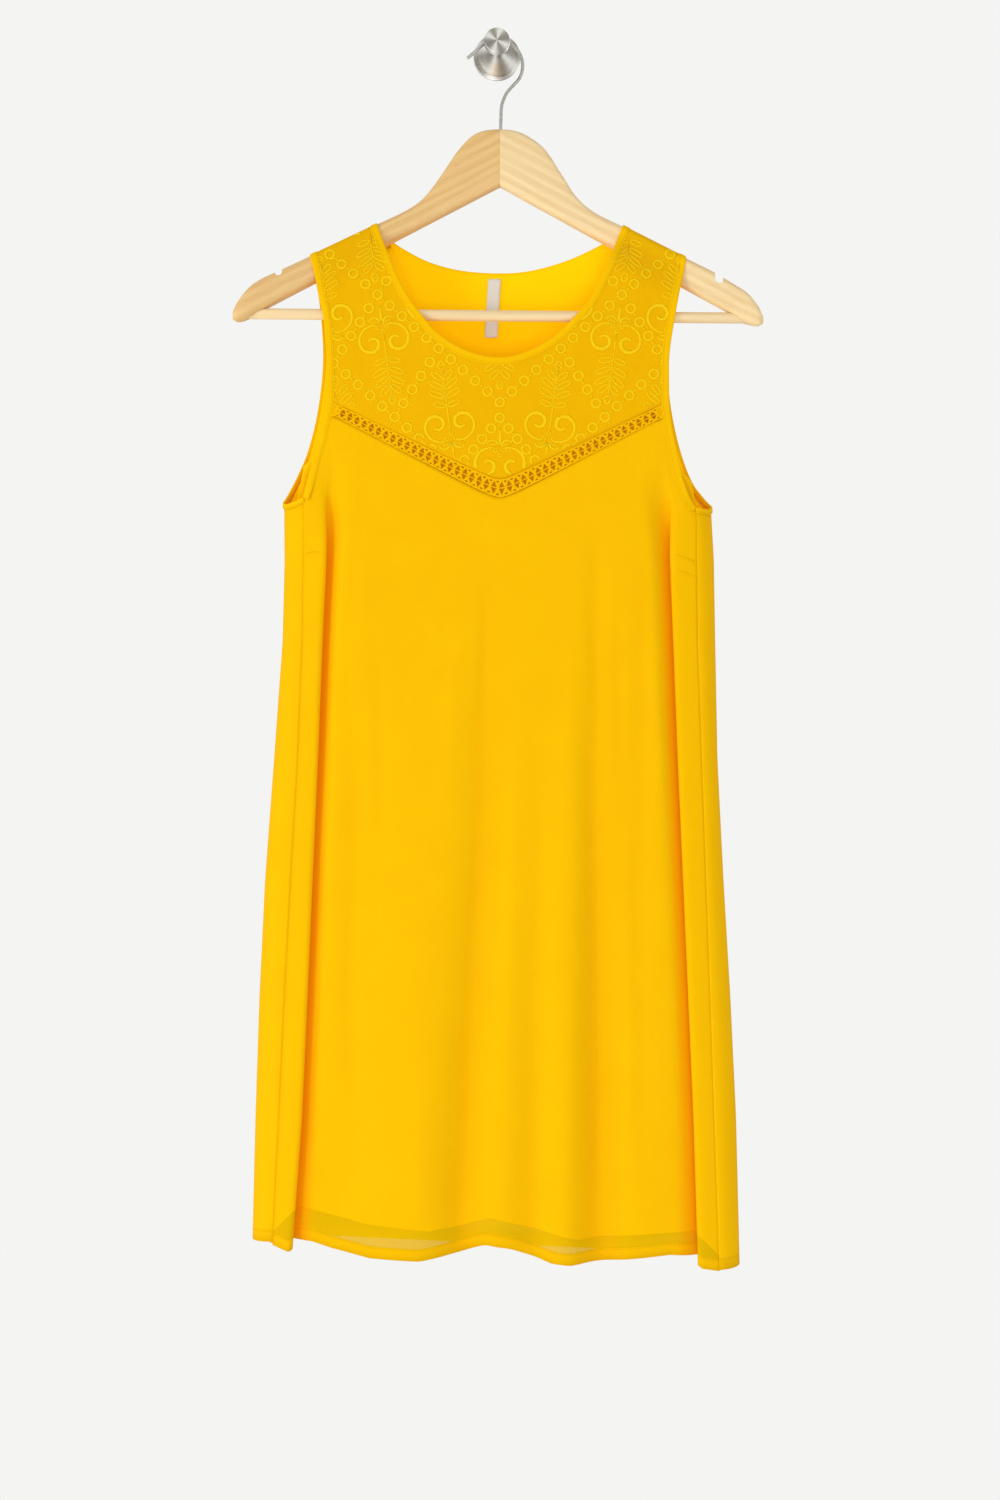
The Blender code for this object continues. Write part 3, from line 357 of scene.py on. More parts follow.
front = {
    "lap": 0.9 * mm,
    "bareHalf": 166.0 * mm,
    # reach and strengths of the painted shade in the side folds and the soft folds
    "shadow": 11.0 * mm,
    "paintedShadeLeft": 1.0,
    "paintedShadeRight": 0.7,
    "paintedShadeSoft": 0.3,
    "flapPoints": 4,
    "turnPoints": 7,
    "mainPoints": 21,
    "hem": (  # x, z
        (-190.0, -1018.5), (-176.0, -1024.0), (-171.0, -1014.6), (-157.0, -1015.6),
        (-140.0, -1021.0), (-107.0, -1028.8), (-65.0, -1031.0), (-31.0, -1025.2),
        (-10.0, -1018.7), (11.0, -1021.4), (45.0, -1033.6), (62.0, -1035.2), (100.0, -1032.0),
        (146.0, -1027.2), (164.0, -1028.2), (169.0, -1037.6), (190.0, -1041.4),
    ),
    "armholeLeft": (  # x, z from the side seam up
        (-163.4, -389.0), (-161.6, -381.5), (-159.4, -373.0), (-157.0, -364.0), (-154.4, -354.4),
        (-152.1, -347.6), (-150.1, -340.9), (-149.1, -334.5), (-147.9, -328.2), (-146.3, -323.0),
        (-144.8, -318.6),
    ),
    "armholeRight": (
        (168.2, -397.6), (165.4, -394.2), (162.4, -389.0), (159.2, -380.5), (156.2, -371.3),
        (153.4, -359.0), (150.9, -346.8), (148.9, -337.0), (147.4, -329.0), (146.6, -324.5),
        (146.3, -320.6),
    ),
}
front["sidePoints"] = front["flapPoints"] + front["turnPoints"]
front["lastSide"] = front["sidePoints"] - 1
front["firstRight"] = front["lastSide"] + front["mainPoints"] + 1
front["last"] = front["firstRight"] + front["lastSide"]


def frontTops():
    tops = list(front["armholeLeft"])
    for i in range(1, front["mainPoints"] + 1):
        x = laceX(i / (front["mainPoints"] + 1))
        tops.append((x, veeLine(x, vee["lowZ"], vee["lowSlope"]) - 0.2))
    return tops + list(front["armholeRight"])[::-1]


def sideFold(values, side):  # plan of one side: the flap, its edge, the hidden layer, the way out
    tag = "L" if side < 0 else "R"
    seam = values["seam" + tag]
    edge = values["fold" + tag]
    inward = -side
    r = body["foldRadius"]
    flapY = values["flapY"]
    points = []
    for i in range(front["flapPoints"]):
        t = i / (front["flapPoints"] - 1)
        y = lerp(values["seamY"], flapY, math.sin(t * math.pi / 2))
        points.append((lerp(seam, edge - inward * r, t), y))
    for angle in (-30.0, 20.0, 70.0):
        a = math.radians(angle)
        points.append((edge - inward * r + inward * r * math.cos(a), flapY + r + r * math.sin(a)))
    middle = edge - inward * (values["hidden"] - r)
    deep = flapY + 3 * r + values["slant"]
    for angle in (-70.0, -20.0, 30.0, 90.0):
        a = math.radians(angle)
        points.append((middle - inward * r * math.cos(a), deep + r * math.sin(a)))
    return points


def plainX(values, q):  # place across at column q as if the side folds were pressed out
    r = body["foldRadius"]
    lastFlap = front["flapPoints"] - 1
    wide = body["foldSpread"]
    mirrored = front["last"] - q
    if q <= lastFlap:
        return lerp(values["seamL"], values["foldL"] - r, q / lastFlap)
    if q <= front["lastSide"]:
        return values["foldL"] - r + wide * (q - lastFlap) / front["turnPoints"]
    if mirrored <= lastFlap:
        return lerp(values["seamR"], values["foldR"] + r, mirrored / lastFlap)
    if mirrored <= front["lastSide"]:
        return values["foldR"] + r - wide * (mirrored - lastFlap) / front["turnPoints"]
    t = (q - front["lastSide"]) / (front["mainPoints"] + 1)
    return lerp(values["foldL"] - r + wide, values["foldR"] + r - wide, t)


def flatFront(x, z, values):
    beside = smooth((abs(x) - 128.0 * mm) / (30.0 * mm))
    beside *= smooth((up(-300.0) - z) / (90.0 * mm))
    return lerp(frontDepth(x, z), values["flapY"], beside)


def frontPoint(q, z, top):
    values = bodyAt(z)
    left = sideFold(values, -1)
    right = sideFold(values, 1)
    mirrored = front["last"] - q
    fade = max(1.0 - (up(top[1]) - z) / (80.0 * mm), 0.0) ** 2
    shift = (top[0] * mm - plainX(bodyAt(up(top[1])), q)) * fade
    flatX = plainX(values, q) + shift
    flatY = flatFront(flatX, z, values)
    if q <= front["lastSide"]:
        x, y = atIndex(left, q)
    elif mirrored <= front["lastSide"]:
        x, y = atIndex(right, mirrored)
    else:
        start = left[-1]
        end = right[-1]
        x = lerp(start[0], end[0], (q - front["lastSide"]) / (front["mainPoints"] + 1))
        reach = values["hidden"] + 14.0 * mm
        out = smooth((x - start[0]) / reach) * smooth((end[0] - x) / reach)
        y = lerp(start[1], frontDepth(x, z), out)
    flap = front["flapPoints"] - 1
    if q <= flap or mirrored <= flap:
        seamSide = smooth((abs(flatX) - abs(left[2][0])) / (20.0 * mm))
        flatY = lerp(flatY, y, max(seamSide, values["folded"]))
    return Vector((lerp(flatX, x + shift, values["folded"]), lerp(flatY, y, values["folded"]), z))


def frontHem(q, top):
    mirrored = front["last"] - q
    flap = front["flapPoints"] - 1
    if flap < q < front["lastSide"]:
        return up(lerp(-1024.0, -1014.6, (q - flap) / front["turnPoints"]))
    if flap < mirrored < front["lastSide"]:
        return up(lerp(-1037.6, -1028.2, (mirrored - flap) / front["turnPoints"]))
    across = frontPoint(q, up(-1030.0), top).x / mm
    if q <= flap:
        across = min(across, -176.0)
    elif mirrored <= flap:
        across = max(across, 169.0)
    else:
        across = min(max(across, -171.0), 164.0)
    return up(column(front["hem"], 1, across))


def frontColumns():
    side = front["lastSide"] * body["sideSteps"]
    columns = spread(0.0, front["lastSide"], side + 1)
    columns += spread(front["lastSide"], front["firstRight"], body["mainColumns"])[1:-1]
    return columns + spread(front["firstRight"], front["last"], side + 1)


def frontGrid():
    tops = frontTops()
    corner = front["lastSide"]
    columns = frontColumns()
    line = [atIndex(tops, q, (corner, front["firstRight"])) for q in columns]
    hems = [frontHem(q, top) for q, top in zip(columns, line)]
    grid = []
    for share in spread(0.0, 1.0, body["rows"]):
        share = share * (0.55 + 0.45 * share)
        row = [frontPoint(q, lerp(up(top[1]), hem, share), top)
               for q, top, hem in zip(columns, line, hems)]
        for edge, beside in ((0, 1), (-1, -2)):
            lap = (row[edge] - row[beside]).normalized() * front["lap"]
            row[edge] += lap - Vector((0.0, front["lap"] / 8, 0.0))
        grid.append(row)
    return grid


# painted shade: how much orange shade is tinted into a place in a side fold or a soft fold
def frontPaintedShade(i, j, p):  # how deep a place lies in a side fold or a soft fold
    values = bodyAt(p.z)
    inLeft = (p.x - values["foldL"]) / (values["hidden"] + front["shadow"])
    inRight = (values["foldR"] - p.x) / (values["hidden"] + front["shadow"])
    behind = smooth((p.y - values["flapY"] - 1.5 * mm) / (3.0 * mm))
    left = max(1.0 - max(inLeft, 0.0), 0.0) ** 0.8 * front["paintedShadeLeft"]
    right = max(1.0 - max(inRight, 0.0), 0.0) ** 0.8 * front["paintedShadeRight"]
    fold = max(left, right) * behind * values["folded"]
    soft = (foldDepth(p.x, p.z) + creaseDepth(p.x, p.z, drape["creases"])) / (9.0 * mm)
    return min(fold + max(soft, 0.0) ** 0.6 * front["paintedShadeSoft"], 1.0)


def aboveLining(p):
    beside = max(abs(p.x) - front["bareHalf"], 0.0)
    return p.z - up(column(lining["hem"], 1, p.x / mm)) + beside


def aboveBackLining(p):
    low = lerp(back["hemLeft"], back["hemRight"], (p.x / mm + 208.0) / 416.0)
    return p.z - up(low + lining["backGap"]) + max(abs(p.x) - front["bareHalf"], 0.0)


# Back of the body, which wraps forward round both sides


back = {
    "top": (  # x, z from the left side seam over shoulder and neck to the right side seam
        (-163.4, -389.0), (-170.0, -392.0), (-178.5, -393.8), (-181.5, -391.0),
        (-176.6, -380.0), (-169.0, -362.0), (-162.2, -343.0), (-156.3, -320.5),
        (-152.0, -294.9), (-149.6, -268.0), (-149.9, -243.6), (-151.9, -218.0),
        (-155.0, -200.0), (-157.0, -190.4), (-142.0, -182.7), (-127.5, -175.3),
        (-112.5, -167.7), (-97.6, -160.1), (-90.5, -165.7), (-79.0, -173.0),
        (-60.0, -182.2), (-38.0, -188.3), (-18.0, -191.0), (2.6, -191.8),
        (22.0, -190.8), (42.0, -186.9), (62.0, -180.9), (80.0, -173.4),
        (93.5, -166.8), (102.6, -161.5), (117.0, -169.3), (131.0, -176.9),
        (145.0, -184.5), (158.8, -192.0), (158.0, -200.0), (154.2, -218.0),
        (149.6, -243.6), (147.9, -268.0), (148.3, -294.9), (152.1, -320.5),
        (158.4, -346.2), (167.5, -371.8), (175.2, -384.6), (182.6, -394.6),
        (179.8, -398.2), (174.5, -398.6), (168.2, -397.6),
    ),
    "shoulderLeft": 13,
    "neckLeft": 17,
    "neckRight": 30,
    "shoulderRight": 34,
    "wrapColumns": 3,
    "turnColumns": 3,
    "roundIn": 22.0 * mm,
    "hemLeft": -1016.0,
    "hemRight": -1040.0,
    "steps": 4,
    "rows": 84,
    "creases": (  # x, z, toX, toZ, width, forward (towards the viewer)
        (-128.0, -430.0, -136.0, -1000.0, 15.0, 1.6), (-84.0, -300.0, -92.0, -960.0, 12.0, -1.8),
        (-40.0, -360.0, -46.0, -1010.0, 17.0, 1.7), (4.0, -260.0, 2.0, -900.0, 10.0, -1.3),
        (46.0, -420.0, 52.0, -1012.0, 16.0, 1.8), (92.0, -330.0, 98.0, -980.0, 12.0, -1.7),
        (132.0, -460.0, 139.0, -1010.0, 15.0, 1.5),
    ),
}
back["last"] = len(back["top"]) - 1


def backPlan(q, z):  # plan at column q: round the side from the seam, then across
    values = bodyAt(z)
    left = q < back["last"] / 2
    side = "L" if left else "R"
    inward = 1.0 if left else -1.0
    i = q if left else back["last"] - q
    seam = values["seam" + side]
    edge = values["edge" + side]
    wrap = back["wrapColumns"]
    turn = back["turnColumns"]
    if i <= wrap:
        a = i / wrap * math.pi / 2
        y = lerp(values["seamY"], values["sideY"], 1.0 - math.cos(a))
        return lerp(seam, edge, math.sin(a)), y
    if i <= wrap + turn:
        a = (i - wrap) / turn * math.pi / 2
        x = edge + inward * back["roundIn"] * (1.0 - math.cos(a))
        return x, lerp(values["sideY"], shape["backY"], math.sin(a))
    t = (q - wrap - turn) / (back["last"] - 2 * (wrap + turn))
    x = lerp(values["edgeL"] + back["roundIn"], values["edgeR"] - back["roundIn"], t)
    return x, shape["backY"]


def backPoint(q, share):
    corners = (3, back["shoulderLeft"], back["neckLeft"], back["neckRight"],
               back["shoulderRight"], back["last"] - 3)
    top = atIndex(back["top"], q, corners)
    topZ = up(top[1])
    hem = up(lerp(back["hemLeft"], back["hemRight"], q / back["last"]))
    z = lerp(topZ, hem, share)
    x, y = backPlan(q, z)
    fade = max(1.0 - (topZ - z) / (170.0 * mm), 0.0) ** 2
    x += (top[0] * mm - backPlan(q, topZ)[0]) * fade
    wrap = back["wrapColumns"]
    if wrap < q < back["last"] - wrap:
        high = smooth((z - up(-370.0)) / (60.0 * mm))
        y = lerp(y, backDepth(x, z), high)
        inside = smooth((q - wrap - 2) / 3) * smooth((back["last"] - wrap - 2 - q) / 3)
        y += creaseDepth(x, z, back["creases"]) * inside
    return Vector((x, y, z))


def backColumns():
    return spread(0.0, back["last"], back["last"] * back["steps"] + 1)


def backShares(count, end=1.0):
    return [s * (0.35 + 0.65 * s) * end for s in spread(0.0, 1.0, count)]


def backGrid():
    return [[backPoint(q, s) for q in backColumns()] for s in backShares(back["rows"])]


# Yoke, carried over both shoulders to a seam just behind the ridge


yoke = {
    "neckLeft": (  # x, z from the shoulder down
        (-102.6, -153.6), (-94.4, -177.2), (-83.5, -204.2), (-73.3, -222.8), (-59.8, -241.3),
        (-46.3, -254.0), (-28.6, -264.6), (-11.7, -270.2), (2.6, -271.7),
    ),
    "neckRight": (
        (107.6, -155.2), (98.4, -179.7), (87.0, -205.9), (72.8, -230.4), (54.1, -248.9),
        (37.2, -261.0), (16.5, -269.6), (2.6, -271.7),
    ),
    "strapLeft": (  # x, z of the armhole from the shoulder down
        (-158.6, -182.2), (-154.0, -200.0), (-149.3, -222.8), (-145.9, -240.0),
        (-143.6, -267.5), (-143.4, -290.3), (-143.2, -305.2),
    ),
    "strapRight": (
        (160.4, -183.9), (157.6, -199.0), (153.4, -218.0), (149.4, -240.0),
        (145.6, -265.0), (144.2, -290.3), (145.0, -306.6),
    ),
    "behindDrops": (9.0, 7.6, 6.2, 4.8, 3.4, 2.0, 1.2, 0.5, 0.15),
    "behindNeckSlope": 0.56,
    "behindStrapSlope": 0.18,
    "strapDrops": (0.0, 0.15, 0.5, 1.2, 2.0, 3.4, 4.8, 6.5, 8.5, 11.5, 15.0, 20.0, 26.0, 32.0,
                   39.0, 46.0, 54.0, 62.0, 70.0, 78.0, 85.0, 92.0),
    "corner": 0.62,  # share of the neckline beside the strap
    "laceColumns": 98,
    "across": 30,
}


def behindShoulder(neck, strap, drop, side):
    ends = []
    for x, slope in ((neck[0], yoke["behindNeckSlope"]), (strap[0], yoke["behindStrapSlope"])):
        x -= side * slope * drop
        ends.append(Vector((x, tableHeight(shoulderHeight(x * mm)) - drop)))
    return ends


def yokeLines():  # pairs of points on the neckline and the outer edge, shoulder to shoulder
    pairs = []
    corner = yoke["corner"]
    length = yoke["strapLeft"][0][1] - yoke["strapLeft"][-1][1]
    for drop in yoke["behindDrops"]:
        ends = behindShoulder(yoke["neckLeft"][0], yoke["strapLeft"][0], drop, -1)
        pairs.append((*ends, True))
    for drop in yoke["strapDrops"]:
        t = drop / length
        pairs.append((along(yoke["neckLeft"], t * corner), along(yoke["strapLeft"], t), False))
    for t in spread(0.0, 1.0, yoke["laceColumns"]):
        x = laceX(t)
        outer = Vector((x, veeLine(x, vee["topZ"], vee["topSlope"])))
        if t <= 0.5:
            inner = along(yoke["neckLeft"], lerp(corner, 1.0, t / 0.5))
        else:
            inner = along(yoke["neckRight"], lerp(1.0, corner, (t - 0.5) / 0.5))
        pairs.append((inner, outer, False))
    for drop in yoke["strapDrops"][::-1]:
        t = drop / length
        pairs.append((along(yoke["neckRight"], t * corner), along(yoke["strapRight"], t), False))
    for drop in yoke["behindDrops"][::-1]:
        ends = behindShoulder(yoke["neckRight"][0], yoke["strapRight"][0], drop, 1)
        pairs.append((*ends, True))
    return pairs


def placeAt(p, depth):
    x = p[0] * mm
    z = up(p[1])
    return Vector((x, depth(x, z), z))


def yokeGrid():  # rows run from the neckline out, columns from the left shoulder to the right
    lines = yokeLines()
    grid = []
    for share in spread(0.0, 1.0, yoke["across"]):
        line = []
        for inner, outer, behind in lines:
            place = inner.lerp(outer, share)
            line.append(placeAt(place, backDepth if behind else frontDepth))
        grid.append(line)
    return grid


# Linings


lining = {
    "topsLeft": ((-178.0, -401.0), (-172.0, -400.0), (-166.0, -397.0), (-159.0, -380.0)),
    "topsRight": ((178.6, -404.0), (174.0, -403.5), (168.0, -401.0), (161.0, -394.0)),
    "main": 18,
    "side": 4,
    "hem": (  # x, z
        (-172.0, -985.0), (-143.0, -992.0), (-109.0, -1000.4), (-58.0, -1005.8),
        (-29.0, -1003.0), (-5.0, -995.5), (24.0, -1003.0), (68.0, -1014.0), (122.0, -1010.0),
        (172.0, -1007.0),
    ),
    "sideGap": 1.3 * mm,
    "turn": 14.0 * mm,
    "shorter": 0.965,
    "start": 0.013,
    "backGap": 30.0,
    "steps": 3,
    "rows": 60,
}


def liningOffset(drop):
    return lerp(shape["liningNear"], shape["liningFar"], smooth(drop / (60.0 * mm)))


def liningTops():
    tops = list(lining["topsLeft"])
    for i in range(lining["main"]):
        x = lerp(-150.0, 152.0, i / (lining["main"] - 1))
        z = veeLine(x, vee["topZ"], vee["topSlope"]) - 1.5
        if i == 0:
            z = -350.0
        if i == lining["main"] - 1:
            z = -362.0
        tops.append((x, z))
    return tops + list(lining["topsRight"])[::-1]


# painted shade on the front lining where it shows through the lace holes
def paintedShadeBehindLace(i, j, p):
    low = veeLine(p.x / mm, vee["lowZ"], vee["lowSlope"])
    return 0.8 * smooth((tableHeight(p.z) - low + 2.0) / 2.5)


def liningFrontPoint(q, share, tops):
    top = atIndex(tops, q)
    last = len(tops) - 1
    topZ = up(top[1])
    z = lerp(topZ, up(column(lining["hem"], 1, lerp(-172.0, 172.0, q / last))), share)
    values = bodyAt(z)
    drop = topZ - z
    behindFold = values["flapY"] + 4 * body["foldRadius"] + values["slant"] + 3.0 * mm
    leftX = values["edgeL"] + shape["liningFar"]
    rightX = values["edgeR"] - shape["liningFar"]
    i = min(q, last - q)
    if i < lining["side"]:
        a = i / lining["side"] * math.pi / 2
        left = q < last / 2
        sideX = leftX if left else rightX
        x = sideX + (1.0 if left else -1.0) * lining["turn"] * (1.0 - math.cos(a))
        return Vector((x, lerp(values["sideY"] - lining["sideGap"], behindFold, math.sin(a)), z))
    t = (q - lining["side"]) / (last - 2 * lining["side"])
    below = lerp(leftX + lining["turn"], rightX - lining["turn"], t)
    x = lerp(below, top[0] * mm, 1.0 - smooth(drop / (80.0 * mm)))
    middle = flatFront(x, z, values) + liningOffset(drop)
    margin = 24.0 * mm
    inside = smooth((x - values["foldL"]) / margin) * smooth((values["foldR"] - x) / margin)
    inside = lerp(1.0, inside, smooth(drop / (25.0 * mm)))
    return Vector((x, lerp(behindFold, middle, inside), z))


def liningFrontGrid():
    tops = liningTops()
    columns = spread(0.0, len(tops) - 1, (len(tops) - 1) * lining["steps"] + 1)
    rows = [0.0, 0.007, 0.014, 0.02, 0.026] + spread(0.035, 1.0, lining["rows"])
    return [[liningFrontPoint(q, s, tops) for q in columns] for s in rows]


def liningBackGrid():  # the back's own points, moved in, from below the shoulder ridge
    full = []
    for share in backShares(lining["rows"], lining["shorter"]):
        line = []
        for q in backColumns():
            fromNeck = max(back["neckLeft"] + 0.75 - q, q - back["neckRight"] + 0.75)
            start = lining["start"] * smooth(fromNeck / 0.5)
            line.append(backPoint(q, start + (1.0 - start) * share))
        full.append(line)
    normals = gridNormals([line[::-1] for line in full])
    wrap = back["wrapColumns"] * back["steps"]
    last = len(full[0]) - 1
    grid = []
    for line, ns in zip(full, normals):
        row = []
        for j in range(wrap, last - wrap + 1):
            drop = full[0][j].z - line[j].z
            row.append(line[j] - ns[last - j] * liningOffset(drop))
        grid.append(row)
    return grid


# Shader maths


class Val:  # a shader socket that can be added, multiplied and compared
    def __init__(self, tree, socket=None):
        self.tree = tree
        self.socket = socket

    def make(self, kind, settings=None, inputs=None, output=0):
        node = self.tree.nodes.new(kind)
        for key, value in (settings or {}).items():
            setattr(node, key, value)
        for key, value in (inputs or {}).items():
            if isinstance(value, Val):
                self.tree.links.new(value.socket, node.inputs[key])
            else:
                node.inputs[key].default_value = value
        return Val(self.tree, node.outputs[output])

    def math(self, operation, *values):
        return self.make("ShaderNodeMath", {"operation": operation}, dict(enumerate(values)))

    def __add__(self, other):
        return self.math("ADD", self, other)

    def __sub__(self, other):
        return self.math("SUBTRACT", self, other)

    def __rsub__(self, other):
        return self.math("SUBTRACT", other, self)

    def __mul__(self, other):
        return self.math("MULTIPLY", self, other)

    def __lt__(self, other):
        return self.math("LESS_THAN", self, other)

    def __gt__(self, other):
        return self.math("GREATER_THAN", self, other)

    __radd__ = __add__
    __rmul__ = __mul__

    def wave(self, period):  # 0 to 1 and back over each period
        return self.math("SINE", self * (2 * math.pi / period)) * 0.5 + 0.5

    def within(self, low, high, soft):  # 1 between two values, with soft edges
        rise = self.make("ShaderNodeMapRange", {"interpolation_type": "SMOOTHSTEP"},
                         {"Value": self, "From Min": low - soft, "From Max": low + soft})
        fall = self.make("ShaderNodeMapRange", {"interpolation_type": "SMOOTHSTEP"},
                         {"Value": self, "From Min": high - soft, "From Max": high + soft})
        return rise * (1 - fall)

    def axis(self, name):
        return self.make("ShaderNodeSeparateXYZ", None, {0: self}, "XYZ".index(name))

    def scaled(self, x, y, z):
        return self.make("ShaderNodeVectorMath", {"operation": "MULTIPLY"}, {0: self, 1: (x, y, z)})

    def noise(self, scale, detail=2.0, roughness=0.5):
        return self.make("ShaderNodeTexNoise", None,
                         {"Vector": self, "Scale": scale, "Detail": detail, "Roughness": roughness})

    def blend(self, first, second):  # self is how much of the second colour shows
        return self.make("ShaderNodeMix", {"data_type": "RGBA", "clamp_factor": True},
                         {"Factor": self, "A": first, "B": second}, "Result")


def rgb(red, green, blue):  # a screen colour as a shader colour
    linear = [(c / 255 / 12.92) if c <= 10 else ((c / 255 + 0.055) / 1.055) ** 2.4
              for c in (red, green, blue)]
    return (*linear, 1.0)


def newLook(name, **fixed):  # a material, its shader and a first Val to build from
    look = bpy.data.materials.new(name)
    look.use_nodes = True
    shader = look.node_tree.nodes["Principled BSDF"]
    for key, value in fixed.items():
        shader.inputs[key.replace("_", " ")].default_value = value
    return look, shader, Val(look.node_tree)


def feed(look, shader, **values):
    for key, value in values.items():
        look.node_tree.links.new(value.socket, shader.inputs[key.replace("_", " ")])


def bumped(start, height, distance, strength=1.0, under=None):
    inputs = {"Height": height, "Distance": distance, "Strength": strength}
    if under is not None:
        inputs["Normal"] = under
    return start.make("ShaderNodeBump", None, inputs)


bareStrip = {"colour": rgb(236, 190, 0), "cover": 0.76}  # the sheer strip below the lining's hem


def clothLook(name, light, dark, cover, hem=0.0, stitch=0.0, crinkle=0.00035, glow=0.03,
              paintedShadeColour=rgb(223, 138, 0), paintedFoldGlow=0.25):
    # cover is how much one layer of the shell hides; hem and stitch are distances up the UV map;
    # the glow and the fold glow are painted glow, emission that stands in for light bounced into
    # folds and passed through thin cloth; the fold colour is painted shade, tinted in where the deep
    # attribute is high
    look, shader, start = newLook(name, Roughness=0.72, Sheen_Weight=0.06, Sheen_Roughness=0.45)
    shader.inputs["Sheen Tint"].default_value = rgb(255, 210, 40)
    shader.inputs["Specular IOR Level"].default_value = 0.04
    shader.inputs["Emission Strength"].default_value = 1.0
    place = start.make("ShaderNodeUVMap", {"uv_map": "cloth"})
    across = place.axis("X")
    along = place.axis("Y")
    threads = across.wave(0.00042) * along.wave(0.00042)
    slub = place.scaled(1.0, 0.16, 1.0).noise(900.0, 2.0)
    cloudy = place.noise(26.0, 3.0)
    tone = cloudy * 0.7 + slub * 0.3
    normal = bumped(start, place.scaled(1.0, 0.35, 1.0).noise(70.0, 3.0, 0.6), crinkle)
    normal = bumped(start, threads * 0.6 + slub * 0.4, 0.00006, 1.0, normal)
    shown = cover
    bare = 0.0
    if hem > 0.0:
        band = along < hem
        dash = across.wave(0.0026) > 0.25
        seam = along.within(stitch - 0.0003, stitch + 0.0003, 0.00015) * dash
        normal = bumped(start, band * 0.5 - seam * 0.6, 0.0004, 1.0, normal)
        tone = tone - seam * 0.5
        above = start.make("ShaderNodeAttribute", {"attribute_name": "bare"}, None, "Fac")
        bare = (above < 0.0) * (1 - band)
        tone = tone - above.within(0.0, 0.0009, 0.0003) * 0.35
        shown = band * (0.86 - cover) + bare * (bareStrip["cover"] - cover) + cover
    colour = (tone * 1.6 - 0.3).blend(dark, light)
    if hem > 0.0:
        colour = bare.blend(colour, bareStrip["colour"])
    # painted shade in folds: the colour is tinted orange where the deep attribute is high, and a
    # painted glow is added as emission
    paintedShadeMask = start.make("ShaderNodeAttribute", {"attribute_name": "deep"}, None, "Fac")
    colour = paintedShadeMask.blend(colour, paintedShadeColour)
    paintedGlow = (paintedShadeMask * paintedFoldGlow + glow).blend(rgb(0, 0, 0), colour)
    feed(look, shader, Base_Color=colour, Normal=normal, Emission_Color=paintedGlow)
    if isinstance(shown, Val):
        feed(look, shader, Alpha=shown)
    else:
        shader.inputs["Alpha"].default_value = shown
    return look


def threadLook(name, colour, dark):
    look, shader, start = newLook(name, Roughness=0.55, Sheen_Weight=0.05)
    place = start.make("ShaderNodeUVMap", {"uv_map": "cloth"})
    shader.inputs["Sheen Tint"].default_value = rgb(255, 210, 40)
    shader.inputs["Specular IOR Level"].default_value = 0.12
    strands = place.axis("X").wave(0.0006)
    feed(look, shader, Base_Color=(strands * 0.35).blend(colour, dark),
         Normal=bumped(start, strands, 0.00012))
    return look


def woodLook(name, pale, grain, slope=0.0):
    look, shader, start = newLook(name, Roughness=0.5)
    place = start.make("ShaderNodeTexCoord", None, None, "Object")
    place = start.make("ShaderNodeMapping", None, {"Vector": place, "Rotation": (0.0, slope, 0.0)})
    waver = place.scaled(5.0, 40.0, 40.0).noise(1.0, 2.0)
    lines = place.scaled(8.0, 300.0, 420.0).noise(1.0, 4.0, 0.6)
    pores = place.scaled(60.0, 900.0, 1500.0).noise(1.0, 2.0, 0.6)
    rings = (place.axis("Z") + waver * 0.012).wave(0.0085)
    mix = lines * 0.7 + rings * 0.28 + (pores > 0.66) * 0.25 - 0.12
    feed(look, shader, Base_Color=mix.blend(pale, grain), Roughness=lines * 0.25 + 0.36,
         Normal=bumped(start, lines * 0.6 + pores * 0.4, 0.00015))
    return look


def steelLook(name, rough, radial):
    look, shader, start = newLook(name, Metallic=1.0)
    place = start.make("ShaderNodeTexCoord", None, None, "Object")
    if radial:
        x = place.axis("X")
        z = place.axis("Z")
        out = start.math("SQRT", x * x + z * z)
        ring = start.make("ShaderNodeCombineXYZ", None,
                          {0: out * 9000.0, 1: place.axis("Y") * 4000.0})
        lines = ring.noise(1.0, 3.0, 0.7)
    else:
        lines = place.scaled(400.0, 400.0, 400.0).noise(1.0, 3.0)
    smear = place.noise(60.0, 2.0)
    tone = lines * 0.5 + smear * 0.5
    if radial:
        # painted highlights: two bright rays painted into the base colour where the turned metal
        # would reflect the window
        turn = start.math("ARCTAN2", place.axis("Z"), place.axis("X"))
        for ray in (74.0, 151.0):  # turned metal shines along the lines that face the window
            paintedRay = start.math("ABSOLUTE", start.math("COSINE", turn - math.radians(ray)))
            tone = tone + start.math("POWER", paintedRay, 14.0) * 1.1
        tone = tone * 0.8 - 0.25
    shade = tone.blend(rgb(138, 132, 122), rgb(252, 250, 244))
    feed(look, shader, Base_Color=shade, Roughness=lines * 0.18 + smear * 0.1 + rough,
         Normal=bumped(start, lines, 0.00004, 0.6))
    return look


def labelLook(name):
    look, shader, start = newLook(name, Roughness=0.55, Sheen_Weight=0.2)
    place = start.make("ShaderNodeUVMap", {"uv_map": "cloth"})
    ribs = place.axis("Y").wave(0.0008)
    spot = place.noise(300.0, 2.0)
    shade = (ribs * 0.25 + spot * 0.3).blend(rgb(236, 232, 222), rgb(212, 204, 190))
    feed(look, shader, Base_Color=shade, Normal=bumped(start, ribs, 0.00008))
    return look


